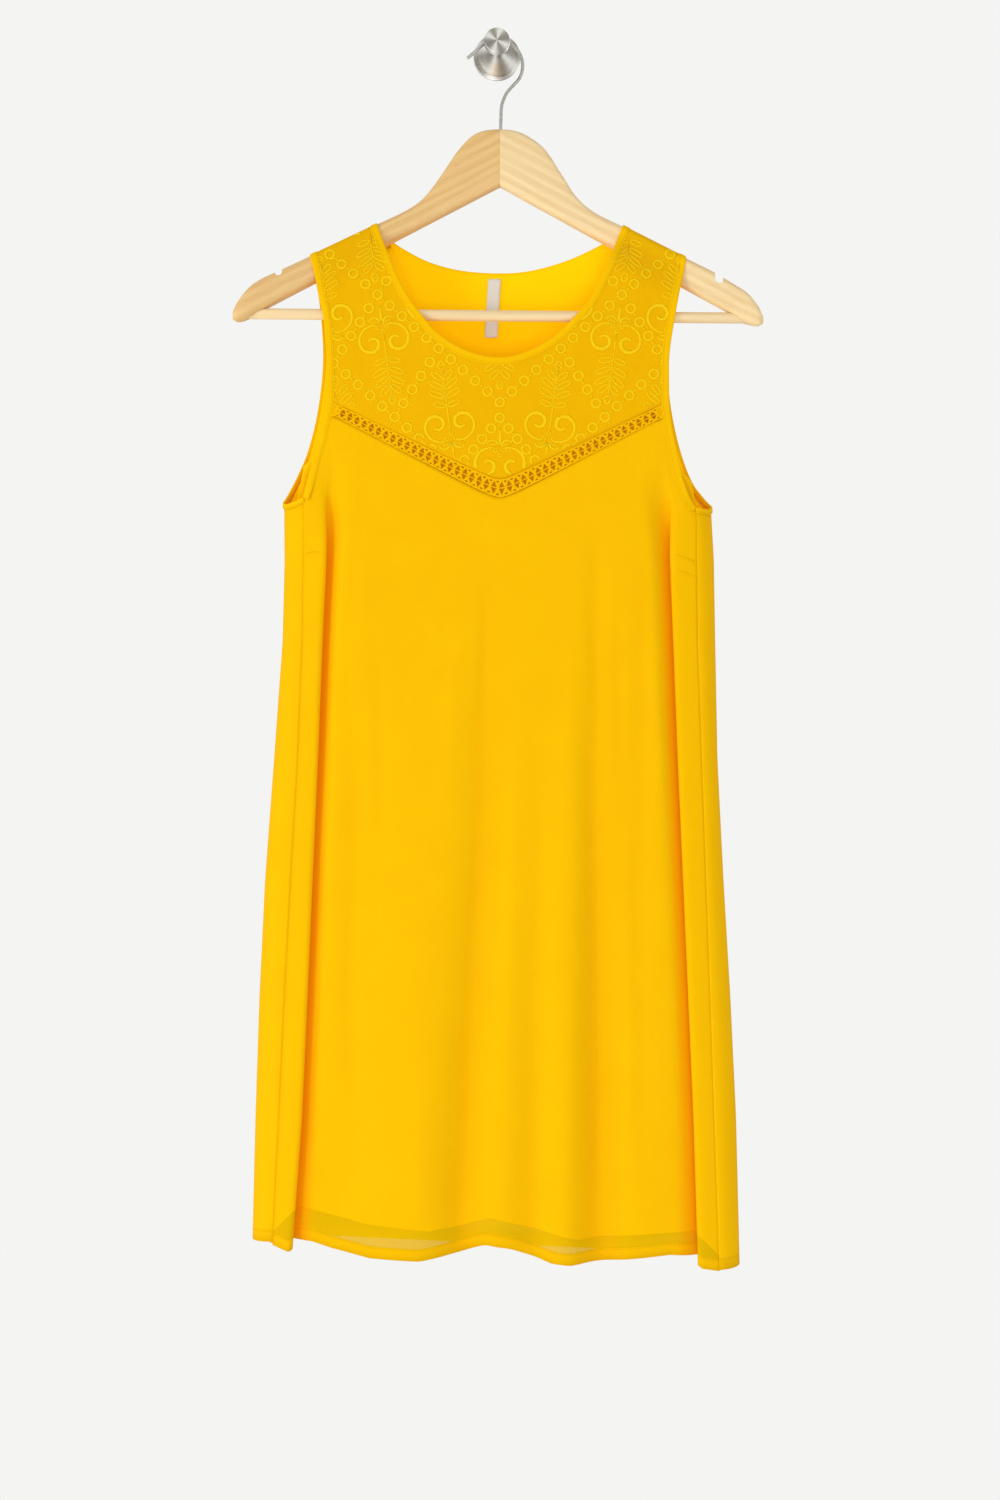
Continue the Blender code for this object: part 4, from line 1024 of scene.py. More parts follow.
looks = {
    "body": clothLook("chiffon_body", rgb(254, 198, 0), rgb(250, 191, 0), 0.9, 0.010, 0.0088),
    "back": clothLook("chiffon_back", rgb(254, 198, 0), rgb(250, 191, 0), 0.9, 0.010, 0.0088),
    "yoke": clothLook("sheer_yoke", rgb(245, 190, 0), rgb(239, 182, 0), 0.82, crinkle=0.0002,
                      glow=0.06),
    # the lining's fold colour is painted shade seen through the lace holes; its glow is painted glow
    "lining": clothLook("plain_lining", rgb(255, 198, 0), rgb(251, 190, 0), 1.0, glow=0.08,
                        paintedShadeColour=rgb(200, 112, 0), paintedFoldGlow=0.05),
    # the back lining is painted brighter, with a strong painted glow in place of light through the
    # sheer back
    "insideBack": clothLook("back_lining_painted_glow", rgb(255, 204, 0), rgb(255, 199, 0), 1.0, glow=0.2),
    "binding": clothLook("bias_binding", rgb(249, 194, 0), rgb(243, 187, 0), 1.0, 0.00001, 0.0013,
                         0.0001),
    "lace": clothLook("lace_thread", rgb(246, 191, 0), rgb(236, 178, 0), 1.0, crinkle=0.0001),
    "thread": threadLook("satin_thread", rgb(255, 211, 0), rgb(250, 202, 0)),
    # one wood in two copies: painted lighter on the right arm and painted shade on the left arm, as
    # the light falls from the left
    "woodLitRight": woodLook("wood_painted_light", rgb(252, 227, 174), rgb(220, 178, 118), math.radians(-28.0)),
    "woodShadedLeft": woodLook("wood_painted_shade", rgb(240, 204, 138), rgb(212, 160, 92), math.radians(28.0)),
    "woodBar": woodLook("bar_wood", rgb(250, 226, 178), rgb(228, 192, 134)),
    "wire": steelLook("polished_wire_steel", 0.08, False),
    "brushed": steelLook("brushed_round_steel", 0.22, True),
    "label": labelLook("woven_label"),
}
print("materials ready")


def finish(piece, nodes):
    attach(piece, "root")
    if nodes:
        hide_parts(*nodes)
    return piece


def smoothAngle(piece, degrees=35.0):
    select(piece)
    bpy.ops.object.shade_smooth_by_angle(angle=math.radians(degrees))


# Cloth pieces

yokePoints = yokeGrid()
frontPoints = frontGrid()
backPoints = [line[::-1] for line in backGrid()]
yokeNormals = gridNormals(yokePoints)
frontNormals = gridNormals(frontPoints)
backNormals = gridNormals(backPoints)
print("cloth surfaces worked out")

frontBody = sheetFrom("front_cloth", frontPoints, shape["thick"], looks["body"],
                      deep=frontPaintedShade, bare=aboveLining)
backBody = sheetFrom("back_cloth", backPoints, shape["thick"], looks["back"], bare=aboveBackLining)
yokeCloth = sheetFrom("yoke_cloth", yokePoints, shape["thick"], looks["yoke"], "top")
liningFront = sheetFrom("front_lining", liningFrontGrid(), shape["thick"], looks["lining"],
                        deep=paintedShadeBehindLace)
liningBack = sheetFrom("back_lining", [line[::-1] for line in liningBackGrid()],
                       shape["thick"], looks["insideBack"])
finish(frontBody, ["front_body"])
finish(backBody, ["back_body"])
finish(yokeCloth, ["yoke_front"])
finish(liningFront, ["lining_front"])
finish(liningBack, ["lining_back"])
print("front, back, yoke and linings made")

hem = {"height": 10.0 * mm, "gap": 0.65 * mm, "steps": 5}


def upFromEdge(grid, j, distance):  # a point of column j at a distance up from its lower end
    i = len(grid) - 1
    left = distance
    while i > 0:
        step = (grid[i][j] - grid[i - 1][j]).length
        if step >= left:
            return grid[i][j].lerp(grid[i - 1][j], left / step)
        left -= step
        i -= 1
    return grid[0][j]


def hemTurn(name, grid, normals, look):  # the cloth turned up inside the hem
    inner = movedOut(grid, normals, -hem["gap"])
    lines = []
    for k in range(hem["steps"]):
        distance = hem["height"] * (1.0 - k / (hem["steps"] - 1))
        lines.append([upFromEdge(inner, j, distance) for j in range(len(grid[0]))])
    return sheetFrom(name, lines, 0.4 * mm, look)


hemFront = finish(hemTurn("front_hem_turn", frontPoints, frontNormals, looks["body"]), [])
hemBack = finish(hemTurn("back_hem_turn", backPoints, backNormals, looks["back"]), [])

# Bindings, folded over the edges

binding = {
    "profile": (  # in from the edge, out from the cloth
        (6.0, 0.3), (5.9, 0.42), (5.4, 0.5), (3.6, 0.55), (1.6, 0.55), (0.5, 0.5),
        (0.0, 0.3), (-0.15, 0.0), (0.0, -0.3), (0.6, -0.5), (3.0, -0.5), (5.4, -0.45),
    ),
    "thick": 0.3 * mm,
    "cut": 12.2 * mm,  # width of the strip
    "backScale": 0.75,
    "backLift": 0.9,
}


def bindingFrom(node, points, normals, hints, scale=1.0, lift=0.0):
    last = len(points) - 1
    lines = []
    for into, out in binding["profile"]:
        line = []
        for i, (point, normal) in enumerate(zip(points, normals)):
            run = (points[min(i + 1, last)] - points[max(i - 1, 0)]).normalized()
            step = run.cross(normal).normalized()
            if step.dot(hints[i]) < 0:
                step.negate()
            high = out + (lift if out > 0.2 else 0.0)
            line.append(point + step * into * scale * mm + normal * high * mm)
        lines.append(line)
    piece = sheetFrom("band_" + node, lines, binding["thick"], looks["binding"], "top")
    length = sum((b - a).length for a, b in zip(points, points[1:]))
    finish(piece, [node])


downward = [b - a for a, b in zip(yokePoints[0], yokePoints[1])]
bindingFrom("neck_binding_front", yokePoints[0], yokeNormals[0], downward)
first = (back["last"] - back["neckRight"]) * back["steps"]
last = (back["last"] - back["neckLeft"]) * back["steps"]
neck = slice(first, last + 1)
downward = [b - a for a, b in zip(backPoints[0][neck], backPoints[1][neck])]
bindingFrom("neck_binding_back", backPoints[0][neck], backNormals[0][neck], downward)

strapCount = len(yoke["behindDrops"]) + len(yoke["strapDrops"]) + 1
armFront = front["lastSide"] * body["sideSteps"]
yokeEnd = len(yokePoints[0]) - 1
frontEnd = len(frontPoints[0]) - 1
backEnd = len(backPoints[0]) - 1
for side, word in ((-1, "left"), (1, "right")):
    points = []
    normals = []
    hints = []
    for j in range(strapCount):
        k = j if side < 0 else yokeEnd - j
        points.append(yokePoints[-1][k])
        normals.append(yokeNormals[-1][k])
        hints.append(yokePoints[-2][k] - yokePoints[-1][k])
    for j in range(armFront - 2, -1, -1):
        k = j if side < 0 else frontEnd - j
        points.append(frontPoints[0][k])
        normals.append(frontNormals[0][k])
        hints.append(Vector((-side, 0.0, -0.3)))
    bindingFrom("armhole_binding_front_" + word, points, normals, hints)
    points = []
    normals = []
    hints = []
    for j in range(back["shoulderLeft"] * back["steps"] + 1):
        k = backEnd - j if side < 0 else j
        points.append(backPoints[0][k])
        normals.append(backNormals[0][k])
        hints.append(Vector((-side, 0.0, -0.6)))
    bindingFrom("armhole_binding_back_" + word, points, normals, hints,
                binding["backScale"], binding["backLift"])
print("bindings made")

# Darts and the lines where their turned-in cloth is pressed flat

darts = (  # name, x, z, toX, toZ, width, lift
    ("bust_dart_left", -161.6, -436.8, -149.6, -434.8, 1.6, 0.24),
    ("bust_dart_right", 166.2, -443.4, 150.6, -437.6, 1.7, 0.34),
    ("dart_edge_right", 166.4, -455.8, 151.4, -450.6, 1.3, 0.26),
)


def laidOn(target, x, z):  # where a thread pushed in from the front meets a piece
    met, place, normal, _ = target.ray_cast(Vector((x, -0.5, z)), Vector((0.0, 1.0, 0.0)))
    if not met:
        raise RuntimeError(f"nothing behind {x:.4f}, {z:.4f}")
    return place, normal


def ridge(name, startX, startZ, endX, endZ, width, lift):
    run = Vector((endX - startX, endZ - startZ)).normalized()
    aside = Vector((-run[1], run[0])) * width / 2
    lines = []
    for off, out in ((-1.0, 0.0), (-0.4, 1.0), (0.4, 1.0), (1.0, 0.0)):
        line = []
        for t in spread(0.0, 1.0, 24):
            taper = min(4.0 * (1.0 - t) + 0.15, 1.0)
            x = lerp(startX, endX, t) + aside[0] * off * taper
            z = lerp(startZ, endZ, t) + aside[1] * off * taper
            place, normal = laidOn(frontBody, x * mm, up(z))
            line.append(place + normal * (out * lift * taper + 0.06) * mm)
        lines.append(line)
    return finish(sheetFrom(name, lines, 0.1 * mm, looks["binding"], "top"), [])


dartPieces = [ridge(*row) for row in darts]
print("darts laid")

# Embroidery of the yoke: satin stitch on a lattice of ring chains, worked out from its own rules

stitch = {
    "weight": 1.3,
    "centreZ": -309.2,  # lowest node of the lattice at the middle
    "centreX": 2.6,
    "halfWide": 44.7,  # half a cell across and half a cell high
    "halfHigh": 52.0,
    "turn": math.radians(8.0),  # each half follows its shoulder
    "ringRadius": 3.7,
    "ringWidth": 0.75,
    "perEdge": 5,
    "lift": 0.2,
    "high": 0.4,
    "inset": 1.2,
    "scroll": 15.6,
    "scrollTurns": 1.62,
    "scrollEye": (10.2, 12.0),
    "arch": ((0.9, 28.6), (3.0, 31.6), (6.0, 33.2), (9.2, 32.2), (11.0, 29.2)),
    "lowerArch": ((1.2, 27.6), (3.6, 29.2), (6.4, 29.6), (8.6, 28.0)),
    "leaves": ((10.5, 16.0), (13.5, 26.0), (13.5, 34.0), (10.5, 44.0)),
    "lowStart": 13.2,
    "profile": ((-1.0, 0.0), (-0.62, 0.8), (0.0, 1.0), (0.62, 0.8), (1.0, 0.0), (0.0, -0.25)),
}


def yokeOutline():
    lines = [ends for ends in yokeLines() if not ends[2]]
    return [inner for inner, _, _ in lines] + [outer for _, outer, _ in lines[::-1]]


def distanceInside(point, outline):  # how far inside an outline, negative when outside
    x, z = point
    inside = False
    nearest = 1e9
    for a, b in zip(outline, outline[1:] + outline[:1]):
        if (a[1] > z) != (b[1] > z) and x < (b[0] - a[0]) * (z - a[1]) / (b[1] - a[1]) + a[0]:
            inside = not inside
        run = b - a
        t = min(max((Vector((x, z)) - a).dot(run) / max(run.length_squared, 1e-9), 0.0), 1.0)
        nearest = min(nearest, (a + run * t - Vector((x, z))).length)
    return nearest if inside else -nearest


def frontNormal(x, z):
    step = 0.8 * mm
    slopeX = (frontDepth(x + step, z) - frontDepth(x - step, z)) / (2 * step)
    slopeZ = (frontDepth(x, z + step) - frontDepth(x, z - step)) / (2 * step)
    return Vector((slopeX, -1.0, slopeZ)).normalized()


class Stitching:  # collects satin bars along flat paths and lays them on the yoke
    def __init__(self):
        self.mesh = bmesh.new()
        self.uv = self.mesh.loops.layers.uv.new("cloth")
        self.outline = yokeOutline()

    def bar(self, path, width, closed=False, endWidth=None):
        path = [Vector(p) for p in path]
        keep = [distanceInside(p, self.outline) > stitch["inset"] for p in path]
        if all(keep):
            self.sweep(path, width, closed, endWidth)
            return
        piece = []
        for p, kept in zip(path + [path[0]] if closed else path, keep + [keep[0]]):
            if kept:
                piece.append(p)
            if not kept or p is path[-1]:
                if len(piece) > 2:
                    self.sweep(piece, width, False, endWidth)
                piece = []

    def sweep(self, path, width, closed, endWidth):
        rings = []
        travelled = 0.0
        count = len(path)
        for i, p in enumerate(path):
            if closed:
                run = path[(i + 1) % count] - path[i - 1]
            else:
                run = path[min(i + 1, count - 1)] - path[max(i - 1, 0)]
            aside = Vector((-run[1], run[0])).normalized()
            travelled += (p - path[max(i - 1, 0)]).length
            wide = lerp(width, endWidth if endWidth is not None else width, i / (count - 1))
            wide *= stitch["weight"]
            ring = []
            for off, out in stitch["profile"]:
                flat = p + aside * off * wide
                x, z = flat[0] * mm, up(flat[1])
                high = stitch["lift"] + out * stitch["high"] * min(wide / 0.5, 1.0)
                spot = Vector((x, frontDepth(x, z), z)) + frontNormal(x, z) * high * mm
                ring.append((self.mesh.verts.new(spot), off * wide))
            rings.append((ring, travelled))
        pairs = list(zip(rings, rings[1:]))
        if closed:
            length = travelled + (path[0] - path[-1]).length
            pairs.append((rings[-1], (rings[0][0], length)))
        sides = len(stitch["profile"])
        for (first, before), (second, after) in pairs:
            for k in range(sides):
                n = (k + 1) % sides
                corners = ((first[k], before), (first[n], before),
                           (second[n], after), (second[k], after))
                face = self.mesh.faces.new([vert for (vert, _), _ in corners])
                face.smooth = True
                for loop, ((_, off), at) in zip(face.loops, corners):
                    loop[self.uv].uv = (at * mm, off * mm)
        if not closed:
            self.mesh.faces.new([vert for vert, _ in rings[0][0]][::-1])
            self.mesh.faces.new([vert for vert, _ in rings[-1][0]])

    def ring(self, centre, radius, width, steps=18):
        path = []
        for k in range(steps):
            a = 2 * math.pi * k / steps
            path.append((centre[0] + radius * math.cos(a), centre[1] + radius * math.sin(a)))
        self.bar(path, width, closed=True)


def turnedBy(point, angle):
    x, z = point
    cosine, sine = math.cos(angle), math.sin(angle)
    return Vector((x * cosine - z * sine, x * sine + z * cosine))


def latticeNode(i, j, side):  # i steps up and outwards, j steps down and outwards
    across = (i + j) * stitch["halfWide"]
    rise = (i - j) * stitch["halfHigh"]
    x, z = turnedBy((across, rise), -stitch["turn"])
    return Vector((stitch["centreX"] + side * x, stitch["centreZ"] + z))


def ringChain(work, start, end, ends):
    count = stitch["perEdge"]
    reach = stitch["ringRadius"] + stitch["ringWidth"]
    run = (end - start).normalized()
    for k in range(count + 1):
        spot = start.lerp(end, k / count)
        if 0 < k or ends:
            work.ring(spot, stitch["ringRadius"], stitch["ringWidth"])
        if k < count:
            ahead = start.lerp(end, (k + 1) / count)
            link = [spot + run * reach, (spot + ahead) / 2, ahead - run * reach]
            work.bar(link, 0.4)


def volute(centre, side):  # a scroll that runs out from the flower, round and into its eye
    path = []
    for k in range(46):
        a = math.radians(lerp(112.0, -325.0, k / 45))
        r = stitch["scroll"] * math.exp(-stitch["scrollTurns"] * k / 45)
        path.append((centre[0] + side * r * math.cos(a), centre[1] + r * math.sin(a)))
    return path


def leafLoop(root, angle, length, width):
    path = []
    for k in range(12):
        t = k / 12 * 2 * math.pi
        along = (1.0 - math.cos(t)) / 2 * length
        aside = math.sin(t) * width
        path.append((root[0] + along * math.cos(angle) - aside * math.sin(angle),
                     root[1] + along * math.sin(angle) + aside * math.cos(angle)))
    return path


def motif(work, centre, angle, flip):  # spear, small flower, two scrolls and a fern sprig
    def placed(path):
        return [centre + turnedBy((x, z * flip), angle) for x, z in path]

    def loop(path, width):
        work.bar(placed(path), width, closed=True)

    work.bar(placed([(0.0, 43.0), (0.2, 39.0), (0.0, 34.0), (0.0, 29.5)]), 0.5, endWidth=1.1)
    for turn in (-1.0, 1.0):
        arch = [(turn * x, z) for x, z in stitch["arch"]]
        work.bar(placed(arch), 0.95, endWidth=0.45)
        lower = [(turn * x, z) for x, z in stitch["lowerArch"]]
        work.bar(placed(lower), 0.4)
        eyeX, eyeZ = stitch["scrollEye"]
        curl = placed(volute((turn * eyeX, eyeZ), turn))
        work.bar(curl[:24], 0.6, endWidth=1.4)
        work.bar(curl[23:], 1.4, endWidth=0.7)
        work.ring(centre + turnedBy((turn * 3.8, 24.6 * flip), angle), 1.5, 0.42, 10)
        for k, (length, lean) in enumerate(stitch["leaves"]):
            way = -math.radians(lean) if turn > 0 else math.pi + math.radians(lean)
            loop(leafLoop((turn * 1.0, -3.0 - 7.4 * k), way, length, 2.1), 0.5)
    work.ring(centre + turnedBy((0.0, 20.6 * flip), angle), 1.5, 0.42, 10)
    work.bar(placed([(0.0, 18.6), (0.0, 8.0), (0.0, -8.0), (0.0, -22.0), (0.0, -36.0)]), 0.45)
    loop(leafLoop((0.0, -34.0), -math.pi / 2, 7.0, 2.6), 0.5)
    work.ring(centre + turnedBy((0.0, -39.0 * flip), angle), 1.6, 0.4, 10)


def embroidery():
    work = Stitching()
    chains = set()
    for side in (-1, 1):
        for i in range(-1, 5):
            for j in range(-3, 3):
                if i + j < 0:
                    continue
                node = latticeNode(i, j, side)
                for di, dj in ((1, 0), (0, 1)):
                    key = (side, i, j, di, dj)
                    begin = node
                    if (i, j, dj) == (0, 0, 1):
                        begin = node - Vector((0.0, stitch["lowStart"]))
                    if key not in chains:
                        chains.add(key)
                        ends = i + j == 0 and side < 0
                        ringChain(work, begin, latticeNode(i + di, j + dj, side), ends)
                column = i + j + 1
                centre = (latticeNode(i, j, side) + latticeNode(i + 1, j + 1, side)) / 2
                motif(work, centre, -side * stitch["turn"], 1.0 if column % 2 == 0 else -1.0)
    for j in (-1, 1):
        drop = stitch["lowStart"] if j < 0 else 0.0
        middle = Vector((stitch["centreX"], stitch["centreZ"] + j * stitch["halfHigh"] - drop))
        motif(work, middle, 0.0, 1.0)
    bmesh.ops.remove_doubles(work.mesh, verts=work.mesh.verts, dist=1e-7)
    bmesh.ops.recalc_face_normals(work.mesh, faces=work.mesh.faces)
    print("embroidery faces:", len(work.mesh.faces))
    return wallFrom("yoke_embroidery", work.mesh, 0.0, looks["thread"])


yokeStitching = finish(embroidery(), [])
print("embroidery laid on the yoke")

# Lace trim, cut through

lace = {
    "pitch": 6.75,
    "step": 0.45,
    "rows": 27,
    "thick": 0.55 * mm,
    "topGap": 0.35,
    "lowGap": 0.15,
    "lean": 0.3,
    "hole": (0.3, 4.6, 2.5),  # from, to and half width of the triangles
    "slit": (4.6, 1.15, 0.62),
    "oval": (1.35, 3.0),
    "plainEnd": 3.5,
    "samples": 2932,
    "half": 6.6,
    "bend": 12.0,  # the pattern turns over this distance at the V's point
    "endX": 148.0,
    "endSoft": 10.0,
}


def laceStations():  # places across at even steps of the band's own length
    path = []
    for t in spread(0.0, 1.0, lace["samples"]):
        x = laceX(t)
        path.append(Vector((x, veeLine(x, (vee["topZ"] + vee["lowZ"]) / 2, 0.5))))
    places = [(path[0].x, 0.0)]
    travelled = 0.0
    for a, b in zip(path, path[1:]):
        travelled += (b - a).length
        if travelled - places[-1][1] >= lace["step"]:
            places.append((b.x, travelled))
    return places, travelled


def lacePattern(u, v):  # whether a spot of the band is open, and how high its thread stands
    cell = (u / lace["pitch"]) % 1.0
    near = min(cell, 1.0 - cell) * lace["pitch"]
    between = abs(cell - 0.5) * lace["pitch"]
    low, high, half = lace["hole"]
    slitAt, slitWide, slitHigh = lace["slit"]
    away = abs(v)
    opened = low < away < high and near < half * (high - away) / (high - low)
    opened = opened or (between / slitWide) ** 2 + ((away - slitAt) / slitHigh) ** 2 < 1.0
    ringAt = math.sqrt((between / lace["oval"][0]) ** 2 + (v / lace["oval"][1]) ** 2)
    raised = 0.45 * math.exp(-(((ringAt - 1.0) / 0.22) ** 2))
    raised += 0.25 * math.exp(-(ringAt / 0.4) ** 2)
    raised += 0.4 * math.exp(-(((away - 6.1 - 0.25 * math.sin(2 * math.pi * cell)) / 0.45) ** 2))
    return opened, raised


def laceBand():
    places, length = laceStations()
    mesh = bmesh.new()
    uv = mesh.loops.layers.uv.new("cloth")
    grid = []
    for x, u in places:
        high = veeLine(x, vee["topZ"], vee["topSlope"]) - lace["topGap"]
        low = veeLine(x, vee["lowZ"], vee["lowSlope"]) + lace["lowGap"]
        side = -1.0 if x < vee["centreX"] else 1.0
        swing = smooth(abs(x - vee["centreX"]) / lace["bend"])
        line = []
        for share in spread(0.0, 1.0, lace["rows"]):
            v = lerp(lace["half"], -lace["half"], share)
            _, raised = lacePattern(u - length / 2 - lace["pitch"] / 2, v)
            ending = min(abs(abs(x) - lace["endX"]) / lace["endSoft"], 1.0)
            px = (x - side * swing * lace["lean"] * v * ending) * mm
            z = up(lerp(high, low, share) - swing * lace["lean"] * v * 0.5)
            spot = Vector((px, frontDepth(px, z), z)) + frontNormal(px, z) * raised * mm
            line.append((mesh.verts.new(spot), u * mm, v * mm))
        grid.append((line, u))
    for (first, u), (second, _) in zip(grid, grid[1:]):
        for k in range(lace["rows"] - 1):
            v = (first[k][2] + first[k + 1][2]) / 2 / mm
            opened, _ = lacePattern(u + lace["step"] / 2 - length / 2 - lace["pitch"] / 2, v)
            if opened and lace["plainEnd"] < u < length - lace["plainEnd"]:
                continue
            corners = (first[k], first[k + 1], second[k + 1], second[k])
            face = mesh.faces.new([vert for vert, _, _ in corners])
            face.smooth = True
            for loop, (_, at, off) in zip(face.loops, corners):
                loop[uv].uv = (at, off)
    bmesh.ops.delete(mesh, geom=[v for v in mesh.verts if not v.link_faces], context="VERTS")
    return wallFrom("lace_trim_band", mesh, lace["thick"], looks["lace"])


laceTrim = finish(laceBand(), ["lace_band"])
print("lace cut and laid")

# Label, blank

label = {
    "left": -7.6,
    "right": 3.4,
    "top": -197.0,
    "low": -248.0,
    "lean": -3.0,
    "thick": 0.4 * mm,
    "rows": 26,
    "columns": 7,
    "neckZ": -191.8,
    "clear": 1.25 * mm,
    "curl": 0.9 * mm,
}


def labelGrid():
    lines = []
    for t in spread(0.0, 1.0, label["rows"]):
        z = lerp(up(label["top"]), up(label["low"]), t)
        line = []
        for s in spread(0.0, 1.0, label["columns"]):
            x = (lerp(label["left"], label["right"], s) + label["lean"] * t) * mm
            depth = backDepth(x, z) - liningOffset(up(label["neckZ"]) - z) - label["clear"]
            curl = label["curl"] * t * t * math.sin(3.0 * t + s)
            line.append(Vector((x, depth - abs(curl), z)))
        lines.append(line)
    return lines


neckLabel = finish(sheetFrom("care_label", labelGrid(), label["thick"], looks["label"], "top"),
                   ["neck_label"])

# Hanger

hanger = {
    "barRadius": 4.6 * mm,
    "barY": -46.4 * mm,
    "barLeft": (-211.0, -233.2),
    "barRight": (212.0, -236.9),
    "wireRadius": 1.5 * mm,
    "arc": (0.1, -15.9),
    "arcRadius": 22.0,
    "hookFoot": ((3.2, -70.2), (3.5, -60.0), (4.4, -49.0), (9.2, -38.2)),
    "hookTip": ((-17.6, -2.9), (-25.2, -9.4)),
    "hookPoints": 140,
    "joint": 2.6,
    "slice": 3.0,  # the arms' outlines are made smooth at this distance
}
armOutlines = {  # x, top, low
    "left": (
        (2.4, -70.6, -119.7), (-11.0, -71.9, -126.8), (-23.0, -77.9, -133.4), (-35.0, -91.6, -139.8),
        (-48.0, -111.2, -146.7), (-61.5, -129.2, -154.0), (-75.0, -140.0, -161.2),
        (-102.5, -154.7, -176.0), (-130.0, -168.7, -191.2), (-158.5, -183.3, -207.2),
        (-179.0, -193.4, -219.2), (-198.0, -203.0, -230.0), (-207.0, -209.2, -235.6),
        (-213.0, -215.5, -239.2), (-219.5, -224.8, -240.6), (-222.8, -232.0, -238.8),
    ),
    "right": (
        (2.8, -70.6, -119.7), (14.0, -71.8, -126.0), (25.6, -76.3, -133.0), (41.0, -88.2, -141.5),
        (56.0, -111.2, -150.0), (68.0, -129.6, -157.0), (83.5, -143.4, -165.5),
        (107.0, -156.1, -179.0), (134.0, -170.7, -195.5), (160.4, -185.0, -211.4),
        (185.0, -198.0, -225.5), (196.0, -205.2, -232.0), (207.0, -212.6, -239.6),
        (213.0, -217.5, -242.6), (221.0, -228.0, -244.2), (224.6, -236.0, -242.2),
    ),
}


def madeSmooth(piece, rows):  # moves an arm's straight spans onto a smooth line through its points
    fine = [tuple(atIndex(rows, k / 12)) for k in range(12 * (len(rows) - 1) + 1)]
    for vert in piece.data.vertices:
        x = vert.co.x / mm
        top, low = column(rows, 1, x), column(rows, 2, x)
        share = min(max((tableHeight(vert.co.z) - low) / (top - low), 0.0), 1.0)
        if abs(x - rows[0][0]) < 0.05:
            vert.co.x = hanger["joint"] * mm
        vert.co.z += lerp(column(fine, 2, x) - low, column(fine, 1, x) - top, share) * mm


def roundedCopy(side, name, look, width):  # an arm's own shape in the frame, with softened edges
    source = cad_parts["hanger_arm_" + side]
    data = source.data.copy()
    made = bpy.data.objects.new(name, data)
    bpy.context.scene.collection.objects.link(made)
    data.materials.clear()
    data.materials.append(look)
    select(made)
    bpy.ops.object.mode_set(mode="EDIT")
    bpy.ops.mesh.select_all(action="SELECT")
    bpy.ops.mesh.remove_doubles(threshold=0.00002)
    bpy.ops.mesh.dissolve_limited(angle_limit=math.radians(2.0))
    rows = armOutlines[side]
    reach = abs(rows[-1][0] - rows[0][0])
    for k in range(1, int(reach / hanger["slice"])):
        x = lerp(rows[0][0], rows[-1][0], k * hanger["slice"] / reach)
        bpy.ops.mesh.select_all(action="SELECT")
        bpy.ops.mesh.bisect(plane_co=(x * mm, 0.0, 0.0), plane_no=(1.0, 0.0, 0.0))
    bpy.ops.object.mode_set(mode="OBJECT")
    madeSmooth(made, rows)
    soft = made.modifiers.new("soft edge", "BEVEL")
    soft.width = width
    soft.segments = 3
    soft.angle_limit = math.radians(50.0)
    bpy.ops.object.modifier_apply(modifier=soft.name)
    smoothAngle(made, 38.0)
    return made


armLeft = finish(roundedCopy("left", "arm_left", looks["woodShadedLeft"], 0.25 * mm),
                 ["hanger_arm_left"])
armRight = finish(roundedCopy("right", "arm_right", looks["woodLitRight"], 0.25 * mm),
                  ["hanger_arm_right"])


def roundBar():
    start = Vector((hanger["barLeft"][0] * mm, hanger["barY"], up(hanger["barLeft"][1])))
    end = Vector((hanger["barRight"][0] * mm, hanger["barY"], up(hanger["barRight"][1])))
    run = end - start
    bpy.ops.object.select_all(action="DESELECT")
    bpy.ops.mesh.primitive_cylinder_add(vertices=40, radius=hanger["barRadius"], depth=run.length,
                                        location=(start + end) / 2,
                                        rotation=run.to_track_quat("Z", "Y").to_euler())
    made = bpy.context.active_object
    made.name = "cross_bar"
    soft = made.modifiers.new("soft ends", "BEVEL")
    soft.width = 0.8 * mm
    soft.segments = 3
    bpy.ops.object.modifier_apply(modifier=soft.name)
    bpy.ops.object.transform_apply(location=True, rotation=True, scale=True)
    made.data.materials.append(looks["woodBar"])
    smoothAngle(made)
    return made


finish(roundBar(), ["hanger_bar"])


def wireHook():
    centreX, centreZ = hanger["arc"]
    route = list(hanger["hookFoot"])
    for angle in (-33.0, -10.0, 12.0, 34.0, 56.0, 78.0, 100.0, 120.0):
        a = math.radians(angle)
        route.append((centreX + hanger["arcRadius"] * math.cos(a),
                      centreZ + hanger["arcRadius"] * math.sin(a)))
    route += hanger["hookTip"]
    curve = bpy.data.curves.new("wire_hook", "CURVE")
    curve.dimensions = "3D"
    curve.bevel_depth = hanger["wireRadius"]
    curve.bevel_resolution = 6
    curve.use_fill_caps = True
    spline = curve.splines.new("POLY")
    spline.points.add(hanger["hookPoints"])
    for i, point in enumerate(spline.points):
        x, z = along(route, i / hanger["hookPoints"])
        point.co = (x * mm, shape["armY"], up(z), 1.0)
    made = bpy.data.objects.new("wire_hook", curve)
    bpy.context.scene.collection.objects.link(made)
    select(made)
    bpy.ops.object.convert(target="MESH")
    made = bpy.context.active_object
    made.data.materials.append(looks["wire"])
    smoothAngle(made)
    return made


finish(wireHook(), ["hanger_hook"])
print("hanger made")

# Wall hook, turned

wallHook = {
    "plate": ((0.0, 19.8), (0.5, 20.3), (1.5, 20.3), (1.9, 20.0), (2.05, 19.5)),  # out, radius
    "knob": (
        (2.3, 17.2), (2.6, 17.3), (4.2, 16.6), (7.5, 13.2), (12.0, 9.2), (17.0, 6.6), (22.0, 5.8),
        (28.0, 5.8), (31.5, 6.8), (35.5, 9.4), (39.5, 10.9), (43.5, 11.1), (45.4, 10.7), (46.2, 9.8),
    ),
    "between": 6,
    "sides": 96,
}


